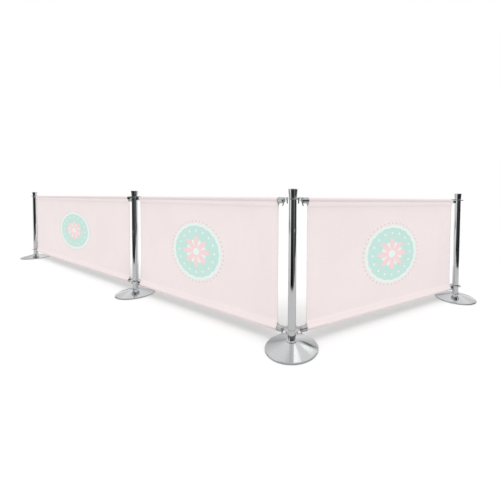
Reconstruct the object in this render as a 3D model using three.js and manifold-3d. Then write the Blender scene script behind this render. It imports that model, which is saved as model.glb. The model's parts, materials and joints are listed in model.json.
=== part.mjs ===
// A cafe barrier: four chromed posts on weighted round bases carry three cloth banners.
// Each banner hangs between a top and a bottom crossbar, whose hooked ends drop into ring holes on the posts.
// Units are millimetres and +Z is up. The origin is on the floor under the corner post.
// +X runs along the straight row, from the left post towards the corner post.
import * as THREE from 'three';
import { mergeVertices } from 'three/addons/utils/BufferGeometryUtils.js';
import Module from 'manifold-3d';

const wasm = await Module();
wasm.setup();

// Row: banner widths and how far the right panel turns back at the corner post
const LONG_BANNER_WIDTH = 2500;
const BANNER_WIDTH = 1500;
const CORNER_TURN = THREE.MathUtils.degToRad(60);

// Clearances
const SEAT_GAP = 0.3;
const CUT_OVERRUN = 2;

// Post tube, with its welded foot flange and foot plug
const POST_HEIGHT = 950;
const TUBE_DIAMETER = 48;
const TUBE_WALL = 1.5;
const FLANGE_DIAMETER = 64;
const FLANGE_THICKNESS = 5;
const FOOT_PLUG_LENGTH = 20;

// Round base: chromed cover over an iron weight, on a rubber pad
const BASE_DIAMETER = 320;
const BASE_HEIGHT = 45;
const RIM_ROUND = 5;
const RIM_LIFT = 1.5;
const COVER_WALL = 1.5;
const COVER_HOLE_DIAMETER = 16;
const PAD_THICKNESS = 3;
const PAD_INSET = 12;
const WEIGHT_INSET = 14;
const BOLT_DIAMETER = 10;
const BOLT_HEAD_DIAMETER = 19;
const BOLT_HEAD_THICKNESS = 6.4;
const BOLT_HEAD_CLEARANCE = 4;
const BOLT_ENGAGEMENT = 14;

// Rings: a top one on the tube's end and a bottom one round the tube, each with four hook holes
const TOP_RING_DROP = 59;
const BOTTOM_RING_HEIGHT = 117;
const RING_THICKNESS = 7;
const RING_WIDTH = 20;
const RING_HOLE_DIAMETER = 10;
const RING_HOLE_OFFSET = 9.5;
const RING_HOLE_COUNT = 4;
const RING_SEAT_RISE = 1;
const SPIGOT_LENGTH = 20;

// Flared cap, with the stud that holds it and the top ring down
const CAP_TOP_DIAMETER = 60;
const CAP_LIP_HEIGHT = 5;
const CAP_LIP_STEP = 1.4;
const CAP_EDGE = 1;
const STUD_DIAMETER = 12;
const STUD_LENGTH = 20;

// Crossbars
const BAR_DIAMETER = 32;
const BAR_WALL = 1.5;

// Hooked bar ends: a cup on the bar, with a tongue over the ring and a pin through its hole
const CUP_WALL = 2;
const CUP_LENGTH = 41;
const CUP_BLOCK_LENGTH = 20;
const CUP_COLLAR_LENGTH = 6;
const CUP_COLLAR_STEP = 1.5;
const NOSE_GAP = 9.5;
const NOSE_CHAMFER = 7;
const TONGUE_WIDTH = 14;
const TONGUE_THICKNESS = 5;
const TONGUE_INSET = 1;
const PIN_DIAMETER = 8;
const PIN_REACH = 24;
const PIN_TIP = 2;

// Sprung trigger: a catch under the ring's rim, drawn back by a finger below the cup
const CATCH_WIDTH = 8;
const CATCH_THICKNESS = 4;
const CATCH_GAP = 1;
const CATCH_OVERLAP = 4.5;
const TRIGGER_TRAVEL = 8;
const FINGER_THICKNESS = 6;
const FINGER_REACH = 16;
const FINGER_LEAN = 6;
const SLIDE_GAP = 0.4;

// Banner cloth, with a pocket round each crossbar
const CLOTH_THICKNESS = 0.8;
const POCKET_DEPTH = 36;
const BANNER_END_GAP = 0.5;

// Facet counts
const POST_SIDES = 20;
const BASE_SIDES = 28;
const CUP_SIDES = 16;
const PIN_SIDES = 10;
const RIM_STEPS = 2;
const POCKET_STEPS = 14;
const HEX_SIDES = 6;

// Sizes worked out from the ones above
const TUBE_RADIUS = TUBE_DIAMETER / 2;
const TUBE_BORE_RADIUS = TUBE_RADIUS - TUBE_WALL;
const RING_RADIUS = TUBE_RADIUS + RING_WIDTH;
const HOLE_CIRCLE = TUBE_RADIUS + RING_HOLE_OFFSET;
const HALF_RING = RING_THICKNESS / 2;
const TOP_RING_HEIGHT = POST_HEIGHT - TOP_RING_DROP;
const RING_SEAT_HEIGHT = TOP_RING_HEIGHT + HALF_RING + RING_SEAT_RISE;
const TUBE_TOP = TOP_RING_HEIGHT - HALF_RING - SEAT_GAP;
const CUP_RADIUS = BAR_DIAMETER / 2 + SEAT_GAP + CUP_WALL;
const TONGUE_TOP = CUP_RADIUS - TONGUE_INSET;
const TONGUE_UNDERSIDE = TONGUE_TOP - TONGUE_THICKNESS;
const BAR_BELOW_RING = TONGUE_UNDERSIDE - SEAT_GAP - HALF_RING;
const NOSE_DISTANCE = RING_RADIUS - HOLE_CIRCLE + NOSE_GAP;
const CUP_END = NOSE_DISTANCE + CUP_LENGTH;
const CUP_FLOOR = NOSE_DISTANCE + CUP_BLOCK_LENGTH;
const PIN_TO_BANNER = CUP_END + BANNER_END_GAP;
const COVER_FLAT_RADIUS = FLANGE_DIAMETER / 2 + CUT_OVERRUN;

// Cone of the base: the height of its outer face at a distance from the post's axis
const RIM_CENTRE_RADIUS = BASE_DIAMETER / 2 - RIM_ROUND;
const RIM_CENTRE_HEIGHT = RIM_LIFT + RIM_ROUND;
const CONE_RUN = RIM_CENTRE_RADIUS - COVER_FLAT_RADIUS;
const CONE_RISE = BASE_HEIGHT - RIM_CENTRE_HEIGHT;
const CONE_ANGLE = Math.atan2(CONE_RISE, CONE_RUN) - Math.asin(RIM_ROUND / Math.hypot(CONE_RUN, CONE_RISE));
const coneHeight = (radius) => BASE_HEIGHT - (radius - COVER_FLAT_RADIUS) * Math.tan(CONE_ANGLE);

// Finishes
const finish = (color, roughness, metalness) => new THREE.MeshStandardMaterial({ color, roughness, metalness });
const chrome = () => finish(0xd5d8da, 0.08, 1);
const darkChrome = () => finish(0x9ea1a4, 0.15, 1);
const aluminium = () => finish(0xb9bbbd, 0.35, 1);
const zincSteel = () => finish(0xa8a9a4, 0.4, 1);
const castIron = () => finish(0x3b3c3e, 0.75, 0.6);
const rubber = () => finish(0x1f1f20, 0.9, 0);
const bannerCloth = () => finish(0xf3e6e5, 0.85, 0);

// A geometry as a solid that can be joined and cut
function solidOf(geometry) {
  geometry.deleteAttribute('normal');
  geometry.deleteAttribute('uv');
  const merged = mergeVertices(geometry);
  const corners = merged.index.array;
  const kept = [];
  for (let i = 0; i < corners.length; i += 3) {
    const [a, b, c] = corners.slice(i, i + 3);
    if (a !== b && b !== c && c !== a) kept.push(a, b, c);
  }
  const vertProperties = Float32Array.from(merged.attributes.position.array);
  const triVerts = Uint32Array.from(kept);
  return new wasm.Manifold(new wasm.Mesh({ numProp: 3, vertProperties, triVerts }));
}

// A solid as a geometry again
function geometryOf(solid) {
  const { vertProperties, triVerts, numProp } = solid.getMesh();
  const places = [];
  for (let i = 0; i < vertProperties.length; i += numProp) {
    places.push(vertProperties[i], vertProperties[i + 1], vertProperties[i + 2]);
  }
  const geometry = new THREE.BufferGeometry();
  geometry.setAttribute('position', new THREE.Float32BufferAttribute(places, 3));
  geometry.setIndex(Array.from(triVerts));
  geometry.computeVertexNormals();
  return geometry;
}

// A turned solid on a vertical axis, from [radius, height] points that run outwards, up and back in
function turned(points, sides) {
  const profile = points.map(([radius, height]) => new THREE.Vector2(radius, height));
  return solidOf(new THREE.LatheGeometry(profile, sides).rotateX(Math.PI / 2));
}

// The same for a hollow piece, whose outline closes on itself away from the axis
const turnedLoop = (points, sides) => turned([...points, points[0]], sides);

// A turned solid on the X axis, from [radius, x] points
function turnedAlongX(points, sides) {
  const profile = points.map(([radius, x]) => new THREE.Vector2(radius, x));
  return solidOf(new THREE.LatheGeometry(profile, sides).rotateZ(-Math.PI / 2));
}

// A plate with its outline in the XZ plane and its thickness centred on Y
function plateAlongY(outline, thickness) {
  const shape = new THREE.Shape(outline.map(([x, z]) => new THREE.Vector2(x, z)));
  const plate = new THREE.ExtrudeGeometry(shape, { depth: thickness, bevelEnabled: false });
  return solidOf(plate.rotateX(Math.PI / 2).translate(0, thickness / 2, 0));
}

// Points on an arc in steps, from one angle to another in radians
function arc(centreX, centreY, radius, from, to, steps) {
  const points = [];
  for (let i = 0; i <= steps; i += 1) {
    const angle = from + ((to - from) * i) / steps;
    points.push([centreX + radius * Math.cos(angle), centreY + radius * Math.sin(angle)]);
  }
  return points;
}

// Tube with its foot flange below and the plug that takes the base bolt
function postTube() {
  const foot = BASE_HEIGHT + SEAT_GAP;
  const plugHole = BOLT_DIAMETER / 2 + SEAT_GAP;
  return turnedLoop([
    [plugHole, foot],
    [FLANGE_DIAMETER / 2, foot],
    [FLANGE_DIAMETER / 2, foot + FLANGE_THICKNESS],
    [TUBE_RADIUS, foot + FLANGE_THICKNESS],
    [TUBE_RADIUS, TUBE_TOP],
    [TUBE_BORE_RADIUS, TUBE_TOP],
    [TUBE_BORE_RADIUS, foot + FOOT_PLUG_LENGTH],
    [plugHole, foot + FOOT_PLUG_LENGTH],
  ], POST_SIDES);
}

// Cap that flares to a flat top with a small lip, on a stud
function postCap() {
  const seat = RING_SEAT_HEIGHT + SEAT_GAP;
  const lipBottom = POST_HEIGHT - CAP_LIP_HEIGHT;
  return turned([
    [0, seat - STUD_LENGTH],
    [STUD_DIAMETER / 2, seat - STUD_LENGTH],
    [STUD_DIAMETER / 2, seat],
    [TUBE_RADIUS, seat],
    [CAP_TOP_DIAMETER / 2 - CAP_LIP_STEP, lipBottom],
    [CAP_TOP_DIAMETER / 2, lipBottom],
    [CAP_TOP_DIAMETER / 2, POST_HEIGHT - CAP_EDGE],
    [CAP_TOP_DIAMETER / 2 - CAP_EDGE, POST_HEIGHT],
    [0, POST_HEIGHT],
  ], POST_SIDES);
}

// The upright holes that the hook pins drop into
function hookHoles(height) {
  const depth = RING_THICKNESS + 2 * CUT_OVERRUN;
  const drills = [];
  for (let i = 0; i < RING_HOLE_COUNT; i += 1) {
    const angle = (i * 2 * Math.PI) / RING_HOLE_COUNT;
    const drill = new THREE.CylinderGeometry(RING_HOLE_DIAMETER / 2, RING_HOLE_DIAMETER / 2, depth, PIN_SIDES);
    drill.rotateX(Math.PI / 2);
    drill.translate(HOLE_CIRCLE * Math.cos(angle), HOLE_CIRCLE * Math.sin(angle), height);
    drills.push(solidOf(drill));
  }
  return drills;
}

// Top ring, whose spigot fits the tube's bore, with a low raised seat for the cap
function topRing() {
  const bottom = TOP_RING_HEIGHT - HALF_RING;
  const top = TOP_RING_HEIGHT + HALF_RING;
  const spigotRadius = TUBE_BORE_RADIUS - SEAT_GAP;
  const bore = STUD_DIAMETER / 2 + SEAT_GAP;
  const disc = turnedLoop([
    [bore, bottom - SPIGOT_LENGTH],
    [spigotRadius, bottom - SPIGOT_LENGTH],
    [spigotRadius, bottom],
    [RING_RADIUS, bottom],
    [RING_RADIUS, top],
    [TUBE_RADIUS, top],
    [TUBE_RADIUS, RING_SEAT_HEIGHT],
    [bore, RING_SEAT_HEIGHT],
  ], POST_SIDES);
  return hookHoles(TOP_RING_HEIGHT).reduce((ring, drill) => ring.subtract(drill), disc);
}

// Bottom ring, round the tube
function bottomRing() {
  const bottom = BOTTOM_RING_HEIGHT - HALF_RING;
  const top = BOTTOM_RING_HEIGHT + HALF_RING;
  const bore = TUBE_RADIUS + SEAT_GAP;
  const disc = turnedLoop([
    [bore, bottom],
    [RING_RADIUS, bottom],
    [RING_RADIUS, top],
    [bore, top],
  ], POST_SIDES);
  return hookHoles(BOTTOM_RING_HEIGHT).reduce((ring, drill) => ring.subtract(drill), disc);
}

// Spun cover: a low cone with a rolled rim, open below
function baseCover() {
  const rimFrom = -Math.PI / 2;
  const rimTo = Math.PI / 2 - CONE_ANGLE;
  const outer = arc(RIM_CENTRE_RADIUS, RIM_CENTRE_HEIGHT, RIM_ROUND, rimFrom, rimTo, RIM_STEPS);
  const inner = arc(RIM_CENTRE_RADIUS, RIM_CENTRE_HEIGHT, RIM_ROUND - COVER_WALL, rimTo, rimFrom, RIM_STEPS);
  return turnedLoop([
    ...outer,
    [COVER_FLAT_RADIUS, BASE_HEIGHT],
    [COVER_HOLE_DIAMETER / 2, BASE_HEIGHT],
    [COVER_HOLE_DIAMETER / 2, BASE_HEIGHT - COVER_WALL],
    [COVER_FLAT_RADIUS, BASE_HEIGHT - COVER_WALL],
    ...inner,
  ], BASE_SIDES);
}

// Iron weight under the cover, recessed below for the bolt's head
function baseWeight() {
  const bottom = PAD_THICKNESS + SEAT_GAP;
  const radius = BASE_DIAMETER / 2 - WEIGHT_INSET;
  const underCover = COVER_WALL / Math.cos(CONE_ANGLE) + SEAT_GAP;
  const ceiling = bottom + BOLT_HEAD_CLEARANCE + BOLT_HEAD_THICKNESS;
  const boltHole = BOLT_DIAMETER / 2 + SEAT_GAP;
  const recess = BOLT_HEAD_DIAMETER / 2 + BOLT_HEAD_CLEARANCE;
  return turnedLoop([
    [recess, bottom],
    [radius, bottom],
    [radius, coneHeight(radius) - underCover],
    [COVER_FLAT_RADIUS, BASE_HEIGHT - underCover],
    [boltHole, BASE_HEIGHT - underCover],
    [boltHole, ceiling],
    [recess, ceiling],
  ], BASE_SIDES);
}

// Hex-headed bolt, up through the weight and the cover into the foot plug
function baseBolt() {
  const shoulder = PAD_THICKNESS + BOLT_HEAD_CLEARANCE + BOLT_HEAD_THICKNESS;
  const tip = BASE_HEIGHT + SEAT_GAP + BOLT_ENGAGEMENT;
  const middle = shoulder - BOLT_HEAD_THICKNESS / 2;
  const head = new THREE.CylinderGeometry(
    BOLT_HEAD_DIAMETER / 2, BOLT_HEAD_DIAMETER / 2, BOLT_HEAD_THICKNESS, HEX_SIDES);
  head.rotateX(Math.PI / 2).translate(0, 0, middle);
  const shank = turned([
    [0, middle],
    [BOLT_DIAMETER / 2, middle],
    [BOLT_DIAMETER / 2, tip],
    [0, tip],
  ], PIN_SIDES);
  return solidOf(head).add(shank);
}

// Rubber pad that the base stands on
function footPad() {
  const radius = BASE_DIAMETER / 2 - PAD_INSET;
  return turned([
    [0, 0],
    [radius, 0],
    [radius, PAD_THICKNESS],
    [0, PAD_THICKNESS],
  ], BASE_SIDES);
}

// Crossbar tube between two hooked ends, with its axis on X and its ends in the cups
function crossbar(span) {
  const radius = BAR_DIAMETER / 2;
  const start = CUP_FLOOR + SEAT_GAP;
  const end = span - start;
  return turnedAlongX([
    [radius - BAR_WALL, start],
    [radius, start],
    [radius, end],
    [radius - BAR_WALL, end],
    [radius - BAR_WALL, start],
  ], CUP_SIDES);
}

// Cup of a hooked end: pin axis at x = 0, bar axis on X
function hookCup() {
  const bore = BAR_DIAMETER / 2 + SEAT_GAP;
  const collar = CUP_RADIUS + CUP_COLLAR_STEP;
  return turnedAlongX([
    [0, NOSE_DISTANCE],
    [CUP_RADIUS - NOSE_CHAMFER, NOSE_DISTANCE],
    [CUP_RADIUS, NOSE_DISTANCE + NOSE_CHAMFER],
    [CUP_RADIUS, CUP_END - CUP_COLLAR_LENGTH],
    [collar, CUP_END - CUP_COLLAR_LENGTH],
    [collar, CUP_END],
    [bore, CUP_END],
    [bore, CUP_FLOOR],
    [0, CUP_FLOOR],
  ], CUP_SIDES);
}

// Flat tongue from the cup over the ring, round at the pin
function hookTongue() {
  const half = TONGUE_WIDTH / 2;
  const inside = NOSE_DISTANCE + NOSE_CHAMFER;
  const outline = new THREE.Shape([
    new THREE.Vector2(inside, -half),
    new THREE.Vector2(inside, half),
    ...arc(0, 0, half, Math.PI / 2, (3 * Math.PI) / 2, PIN_SIDES / 2).map(([x, y]) => new THREE.Vector2(x, y)),
  ]);
  const plate = new THREE.ExtrudeGeometry(outline, { depth: TONGUE_THICKNESS, bevelEnabled: false });
  return solidOf(plate.translate(0, 0, TONGUE_UNDERSIDE));
}

// Round pin under the tongue, with a chamfered tip
function hookPin() {
  const radius = PIN_DIAMETER / 2;
  const top = TONGUE_UNDERSIDE + TONGUE_THICKNESS / 2;
  const tip = BAR_BELOW_RING - HALF_RING - PIN_REACH;
  return turned([
    [0, tip],
    [radius - PIN_TIP, tip],
    [radius, tip + PIN_TIP],
    [radius, top],
    [0, top],
  ], PIN_SIDES);
}

const plainHook = () => hookCup().add(hookTongue()).add(hookPin());

// Places of the trigger's edges along X and Z, from the pin axis and the bar axis
const CATCH_TIP = RING_RADIUS - HOLE_CIRCLE - CATCH_OVERLAP;
const CATCH_TOP = BAR_BELOW_RING - HALF_RING - CATCH_GAP;
const CATCH_BOTTOM = CATCH_TOP - CATCH_THICKNESS;
const FINGER_BACK = CUP_FLOOR - TRIGGER_TRAVEL - CUP_WALL;
const FINGER_FRONT = FINGER_BACK - FINGER_THICKNESS;
const FINGER_TIP = -CUP_RADIUS - FINGER_REACH;

// Trigger: a flat catch with a finger that leans back below the cup
function trigger() {
  const bend = -CUP_RADIUS;
  return plateAlongY([
    [CATCH_TIP, CATCH_BOTTOM],
    [FINGER_FRONT, CATCH_BOTTOM],
    [FINGER_FRONT, bend],
    [FINGER_FRONT + FINGER_LEAN, FINGER_TIP],
    [FINGER_BACK + FINGER_LEAN, FINGER_TIP],
    [FINGER_BACK, bend],
    [FINGER_BACK, CATCH_TOP],
    [CATCH_TIP, CATCH_TOP],
  ], CATCH_WIDTH);
}

// Hooked end with the slots that the trigger slides in
function slottedHook() {
  const width = CATCH_WIDTH + 2 * SLIDE_GAP;
  const back = FINGER_BACK + TRIGGER_TRAVEL + SLIDE_GAP;
  const slot = plateAlongY([
    [NOSE_DISTANCE - CUT_OVERRUN, CATCH_BOTTOM - SLIDE_GAP],
    [FINGER_FRONT - SLIDE_GAP, CATCH_BOTTOM - SLIDE_GAP],
    [FINGER_FRONT - SLIDE_GAP, -CUP_RADIUS - CUT_OVERRUN],
    [back, -CUP_RADIUS - CUT_OVERRUN],
    [back, CATCH_TOP + SLIDE_GAP],
    [NOSE_DISTANCE - CUT_OVERRUN, CATCH_TOP + SLIDE_GAP],
  ], width);
  return plainHook().subtract(slot);
}

// The round of a pocket over a bar, from one side of its seam to the other, in flats that clear the bar.
// side is 1 for the top pocket and -1 for the bottom one.
function pocketArc(barHeight, radius, side) {
  const lean = Math.acos(radius / POCKET_DEPTH);
  const from = -Math.PI / 2 + lean;
  const to = (3 * Math.PI) / 2 - lean;
  const cornerRadius = radius / Math.cos((to - from) / POCKET_STEPS / 2);
  return arc(0, 0, cornerRadius, from, to, POCKET_STEPS).map(([y, z]) => [side * y, barHeight + side * z]);
}

// Banner: one flat sheet with a sewn pocket round each crossbar, drawn as an outline across the bars
function banner(span) {
  const top = TOP_RING_HEIGHT - BAR_BELOW_RING;
  const bottom = BOTTOM_RING_HEIGHT - BAR_BELOW_RING;
  const half = CLOTH_THICKNESS / 2;
  const inside = BAR_DIAMETER / 2 + SEAT_GAP;
  const outside = inside + CLOTH_THICKNESS;
  const toPoints = (places) => places.map(([y, z]) => new THREE.Vector2(y, z));
  const outline = new THREE.Shape(toPoints([
    [half, bottom + POCKET_DEPTH],
    [half, top - POCKET_DEPTH],
    ...pocketArc(top, outside, 1),
    [-half, top - POCKET_DEPTH],
    [-half, bottom + POCKET_DEPTH],
    ...pocketArc(bottom, outside, -1),
  ]));
  const seamInside = POCKET_DEPTH - CLOTH_THICKNESS * 2;
  outline.holes.push(new THREE.Path(toPoints([...pocketArc(top, inside, 1), [0, top - seamInside]])));
  outline.holes.push(new THREE.Path(toPoints([...pocketArc(bottom, inside, -1), [0, bottom + seamInside]])));
  const width = span - 2 * PIN_TO_BANNER;
  const sheet = new THREE.ExtrudeGeometry(outline, { depth: width, bevelEnabled: false });
  const axes = new THREE.Matrix4().makeBasis(
    new THREE.Vector3(0, 1, 0), new THREE.Vector3(0, 0, 1), new THREE.Vector3(1, 0, 0));
  return solidOf(sheet.applyMatrix4(axes).translate(PIN_TO_BANNER, 0, 0));
}

const part = new THREE.Group();

function addPiece(group, name, solid, material) {
  const mesh = new THREE.Mesh(geometryOf(solid), material);
  mesh.name = name;
  group.add(mesh);
  return mesh;
}

// One post with its base, turned so that its first ring hole points along angle
function addPost(name, x, y, angle) {
  const post = new THREE.Group();
  post.position.set(x, y, 0);
  post.rotation.z = angle;
  addPiece(post, `${name}_post_tube`, postTube(), chrome());
  addPiece(post, `${name}_post_cap`, postCap(), chrome());
  addPiece(post, `${name}_top_ring`, topRing(), chrome());
  addPiece(post, `${name}_bottom_ring`, bottomRing(), chrome());
  addPiece(post, `${name}_base_cover`, baseCover(), chrome());
  addPiece(post, `${name}_base_weight`, baseWeight(), castIron());
  addPiece(post, `${name}_base_bolt`, baseBolt(), zincSteel());
  addPiece(post, `${name}_foot_pad`, footPad(), rubber());
  part.add(post);
}

// One crossbar with a hooked end at each side, the trigger at the end that triggerAtRight says
function addCrossbar(panel, name, span, height, triggerAtRight) {
  addPiece(panel, `${name}_bar`, crossbar(span), aluminium()).position.z = height;
  for (const right of [false, true]) {
    const sprung = right === triggerAtRight;
    const end = right ? 'right' : 'left';
    const hook = addPiece(panel, `${name}_hook_${end}`, sprung ? slottedHook() : plainHook(), chrome());
    const pieces = [hook];
    if (sprung) pieces.push(addPiece(panel, `${name}_trigger`, trigger(), darkChrome()));
    for (const piece of pieces) {
      piece.position.set(right ? span : 0, 0, height);
      piece.rotation.z = right ? Math.PI : 0;
    }
  }
}

// One panel: banner and two crossbars, from its left pin along angle
function addPanel(name, x, y, angle, bannerWidth, triggerAtRight) {
  const span = pinSpan(bannerWidth);
  const panel = new THREE.Group();
  panel.position.set(x, y, 0);
  panel.rotation.z = angle;
  addPiece(panel, `${name}_banner`, banner(span), bannerCloth());
  addCrossbar(panel, `${name}_top`, span, TOP_RING_HEIGHT - BAR_BELOW_RING, triggerAtRight);
  addCrossbar(panel, `${name}_bottom`, span, BOTTOM_RING_HEIGHT - BAR_BELOW_RING, triggerAtRight);
  part.add(panel);
}

// From pin to pin of a panel
function pinSpan(bannerWidth) {
  return bannerWidth + 2 * PIN_TO_BANNER;
}

// The corner post's side holes face along half the turn, so both its panels swing back alike
const HALF_TURN = CORNER_TURN / 2;
const PIN_X = HOLE_CIRCLE * Math.cos(HALF_TURN);
const PIN_Y = HOLE_CIRCLE * Math.sin(HALF_TURN);
const MIDDLE_PANEL_X = -PIN_X - pinSpan(BANNER_WIDTH);
const MIDDLE_POST_X = MIDDLE_PANEL_X - HOLE_CIRCLE;
const LEFT_PANEL_X = MIDDLE_POST_X - HOLE_CIRCLE - pinSpan(LONG_BANNER_WIDTH);
const LEFT_POST_X = LEFT_PANEL_X - HOLE_CIRCLE;
const RIGHT_REACH = pinSpan(BANNER_WIDTH) + HOLE_CIRCLE;
const RIGHT_POST_X = PIN_X + RIGHT_REACH * Math.cos(CORNER_TURN);
const RIGHT_POST_Y = PIN_Y + RIGHT_REACH * Math.sin(CORNER_TURN);

addPost('corner', 0, 0, HALF_TURN);
addPost('middle', MIDDLE_POST_X, -PIN_Y, 0);
addPost('left', LEFT_POST_X, -PIN_Y, 0);
addPost('right', RIGHT_POST_X, RIGHT_POST_Y, CORNER_TURN);

addPanel('middle', MIDDLE_PANEL_X, -PIN_Y, 0, BANNER_WIDTH, true);
addPanel('left', LEFT_PANEL_X, -PIN_Y, 0, LONG_BANNER_WIDTH, true);
addPanel('right', PIN_X, PIN_Y, CORNER_TURN, BANNER_WIDTH, false);

export default part;
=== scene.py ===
# %% [markdown]
# # A cafe barrier
# Four chromed posts stand on weighted round bases. Three cloth banners hang between them, each with a
# crossbar in a pocket at its top and another at its bottom. This lesson dresses the working model of that
# barrier: it loads the solids, makes each visible piece again with a finer surface and a finish, and lights
# the row.

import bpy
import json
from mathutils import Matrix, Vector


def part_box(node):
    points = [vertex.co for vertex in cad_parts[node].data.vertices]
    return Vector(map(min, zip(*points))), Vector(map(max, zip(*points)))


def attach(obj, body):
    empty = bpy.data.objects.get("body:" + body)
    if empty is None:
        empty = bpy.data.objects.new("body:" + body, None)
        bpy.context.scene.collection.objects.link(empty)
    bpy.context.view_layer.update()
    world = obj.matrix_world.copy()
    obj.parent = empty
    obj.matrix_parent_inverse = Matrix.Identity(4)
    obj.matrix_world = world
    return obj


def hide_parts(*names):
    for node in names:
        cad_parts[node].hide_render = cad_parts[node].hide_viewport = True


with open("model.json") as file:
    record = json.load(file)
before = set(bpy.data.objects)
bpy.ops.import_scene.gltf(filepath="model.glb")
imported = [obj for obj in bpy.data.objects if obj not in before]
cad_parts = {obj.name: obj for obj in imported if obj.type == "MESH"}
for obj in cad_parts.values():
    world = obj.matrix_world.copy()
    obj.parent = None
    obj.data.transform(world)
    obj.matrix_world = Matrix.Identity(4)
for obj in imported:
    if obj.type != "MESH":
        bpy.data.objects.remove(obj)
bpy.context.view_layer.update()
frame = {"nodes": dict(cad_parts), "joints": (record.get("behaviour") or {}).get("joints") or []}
print("pieces in the working model:", len(frame["nodes"]))

# %% [markdown]
# Everything below is in metres, but a metalworker thinks in millimetres. So sizes are written in millimetres
# and multiplied once by MM.

# %% Tools and units
import json
import math

import bmesh
import bpy
from mathutils import Matrix, Vector

MM = 0.001
FULL_TURN = 2 * math.pi
scene = bpy.context.scene
print("working in metres; one millimetre is", MM)

# %% [markdown]
# ## Where the posts and panels stand
# A post turns about nothing but its own axis, so its place is the middle of its round foot pad, and its turn
# is the direction of a hook pin on it. A panel hangs between two pins, and its own X axis runs from its left
# pin to its right one. The pins are the hinges of the working model, so every place is read from there.

# %% Places of posts and panels
LEVELS = ("top", "bottom")
ENDS = ("left", "right")
joints = {joint["name"]: joint for joint in frame["joints"]}


def pin_of(joint_name):
    x, y, _ = joints[joint_name]["pos_m"]
    return Vector((x, y, 0))


PANEL_PINS = {
    "middle": (pin_of("middle_post_swing"), pin_of("middle_panel_swing")),
    "left": (pin_of("left_post_swing"), pin_of("left_panel_swing")),
    "right": (pin_of("right_panel_swing"), pin_of("right_post_swing")),
}
POST_PINS = {
    "corner": PANEL_PINS["right"][0],
    "middle": PANEL_PINS["middle"][0],
    "left": PANEL_PINS["left"][0],
    "right": PANEL_PINS["right"][1],
}


def facing_along(spot, way):
    """A place at the spot, turned so that its X axis runs along the way."""
    return Matrix.Translation(spot) @ Matrix.Rotation(math.atan2(way.y, way.x), 4, "Z")


def post_place(post):
    low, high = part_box(f"{post}_foot_pad")
    foot = Vector(((low.x + high.x) / 2, (low.y + high.y) / 2, 0))
    return facing_along(foot, POST_PINS[post] - foot)


def bar_height(panel, level):
    low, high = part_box(f"{panel}_{level}_bar")
    return (low.z + high.z) / 2 / MM


POSTS = {post: post_place(post) for post in POST_PINS}
PANELS = {panel: facing_along(start, end - start) for panel, (start, end) in PANEL_PINS.items()}
SPANS = {panel: (end - start).length / MM for panel, (start, end) in PANEL_PINS.items()}
ALL_BARS = [(panel, level) for panel in PANELS for level in LEVELS]
BAR_HEIGHTS = {bar: bar_height(*bar) for bar in ALL_BARS}
for panel, span in SPANS.items():
    print(panel, "panel, pin to pin in millimetres:", round(span, 1))

# %% [markdown]
# ## Making a piece and handing it over
# Each piece is built about its own axis, moved to its place, and left with its object at the origin. A piece
# then rides on a body of the working model and stands for the solid that it hides.

# %% Making a piece and handing it over


def in_scene(name, data):
    """A new object that holds the data, linked to the scene."""
    made = bpy.data.objects.new(name, data)
    scene.collection.objects.link(made)
    return made


def mesh_object(name, bm):
    mesh = bpy.data.meshes.new(name)
    bm.to_mesh(mesh)
    bm.free()
    return in_scene(name, mesh)


def applied(piece):
    """Turn the piece's modifiers into plain mesh."""
    graph = bpy.context.evaluated_depsgraph_get()
    mesh = bpy.data.meshes.new_from_object(piece.evaluated_get(graph))
    piece.modifiers.clear()
    piece.data = mesh
    mesh.name = piece.name
    return piece


def hand_over(piece, body, slot, *replaced):
    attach(piece, body)
    if replaced:
        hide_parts(*replaced)
    return piece


def face_count(piece):
    return len(piece.data.polygons)


print("helpers for pieces are ready")

# %% [markdown]
# ## Round corners on an outline
# No edge on a chromed piece is knife sharp: polishing leaves a small round, and that round catches the light
# as a thin bright line. A Bevel modifier could add it, but most pieces here are turned, so it is simpler to
# round the corners of the outline before it is spun.

# %% Outlines with round corners
ROUND_STEPS = 4


def rounded(corners, steps=ROUND_STEPS):
    """Corners are (across, up, radius of the round) of an outline that closes on itself."""
    points = []
    for i, (across, up, radius) in enumerate(corners):
        here = Vector((across, up))
        if radius == 0:
            points.append(here)
            continue
        back = (Vector(corners[i - 1][:2]) - here).normalized()
        ahead = (Vector(corners[(i + 1) % len(corners)][:2]) - here).normalized()
        half = back.angle(ahead) / 2
        centre = here + (back + ahead).normalized() * (radius / math.sin(half))
        start = here + back * (radius / math.tan(half)) - centre
        sweep = math.pi - 2 * half
        if back.x * ahead.y - back.y * ahead.x > 0:
            sweep = -sweep
        for step in range(steps + 1):
            angle = math.atan2(start.y, start.x) + sweep * step / steps
            points.append(centre + Vector((math.cos(angle), math.sin(angle))) * radius)
    return points


def arc_points(centre, radius, start, end, steps):
    """Points on an arc round a centre, with angles in radians."""
    angles = [start + (end - start) * step / steps for step in range(steps + 1)]
    return [Vector((centre[0] + radius * math.cos(a), centre[1] + radius * math.sin(a))) for a in angles]


square = rounded([(0, 0, 1), (9, 0, 1), (9, 9, 1), (0, 9, 1)])
print("a square with round corners has", len(square), "points")

# %% [markdown]
# ## Turning an outline
# The tube, cap, rings' seat, base cover, pad, bars and cups are all turned shapes. Blender's Screw modifier
# can spin a profile, but building the rings here also lets us lay a clean UV map: U runs round the piece and
# V runs along the outline in metres, which the spun finish of the base needs. A point on the axis is made
# once and shared by all the sides, so that the pole closes.

# %% Turned pieces
ON_AXIS = 0.001


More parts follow.
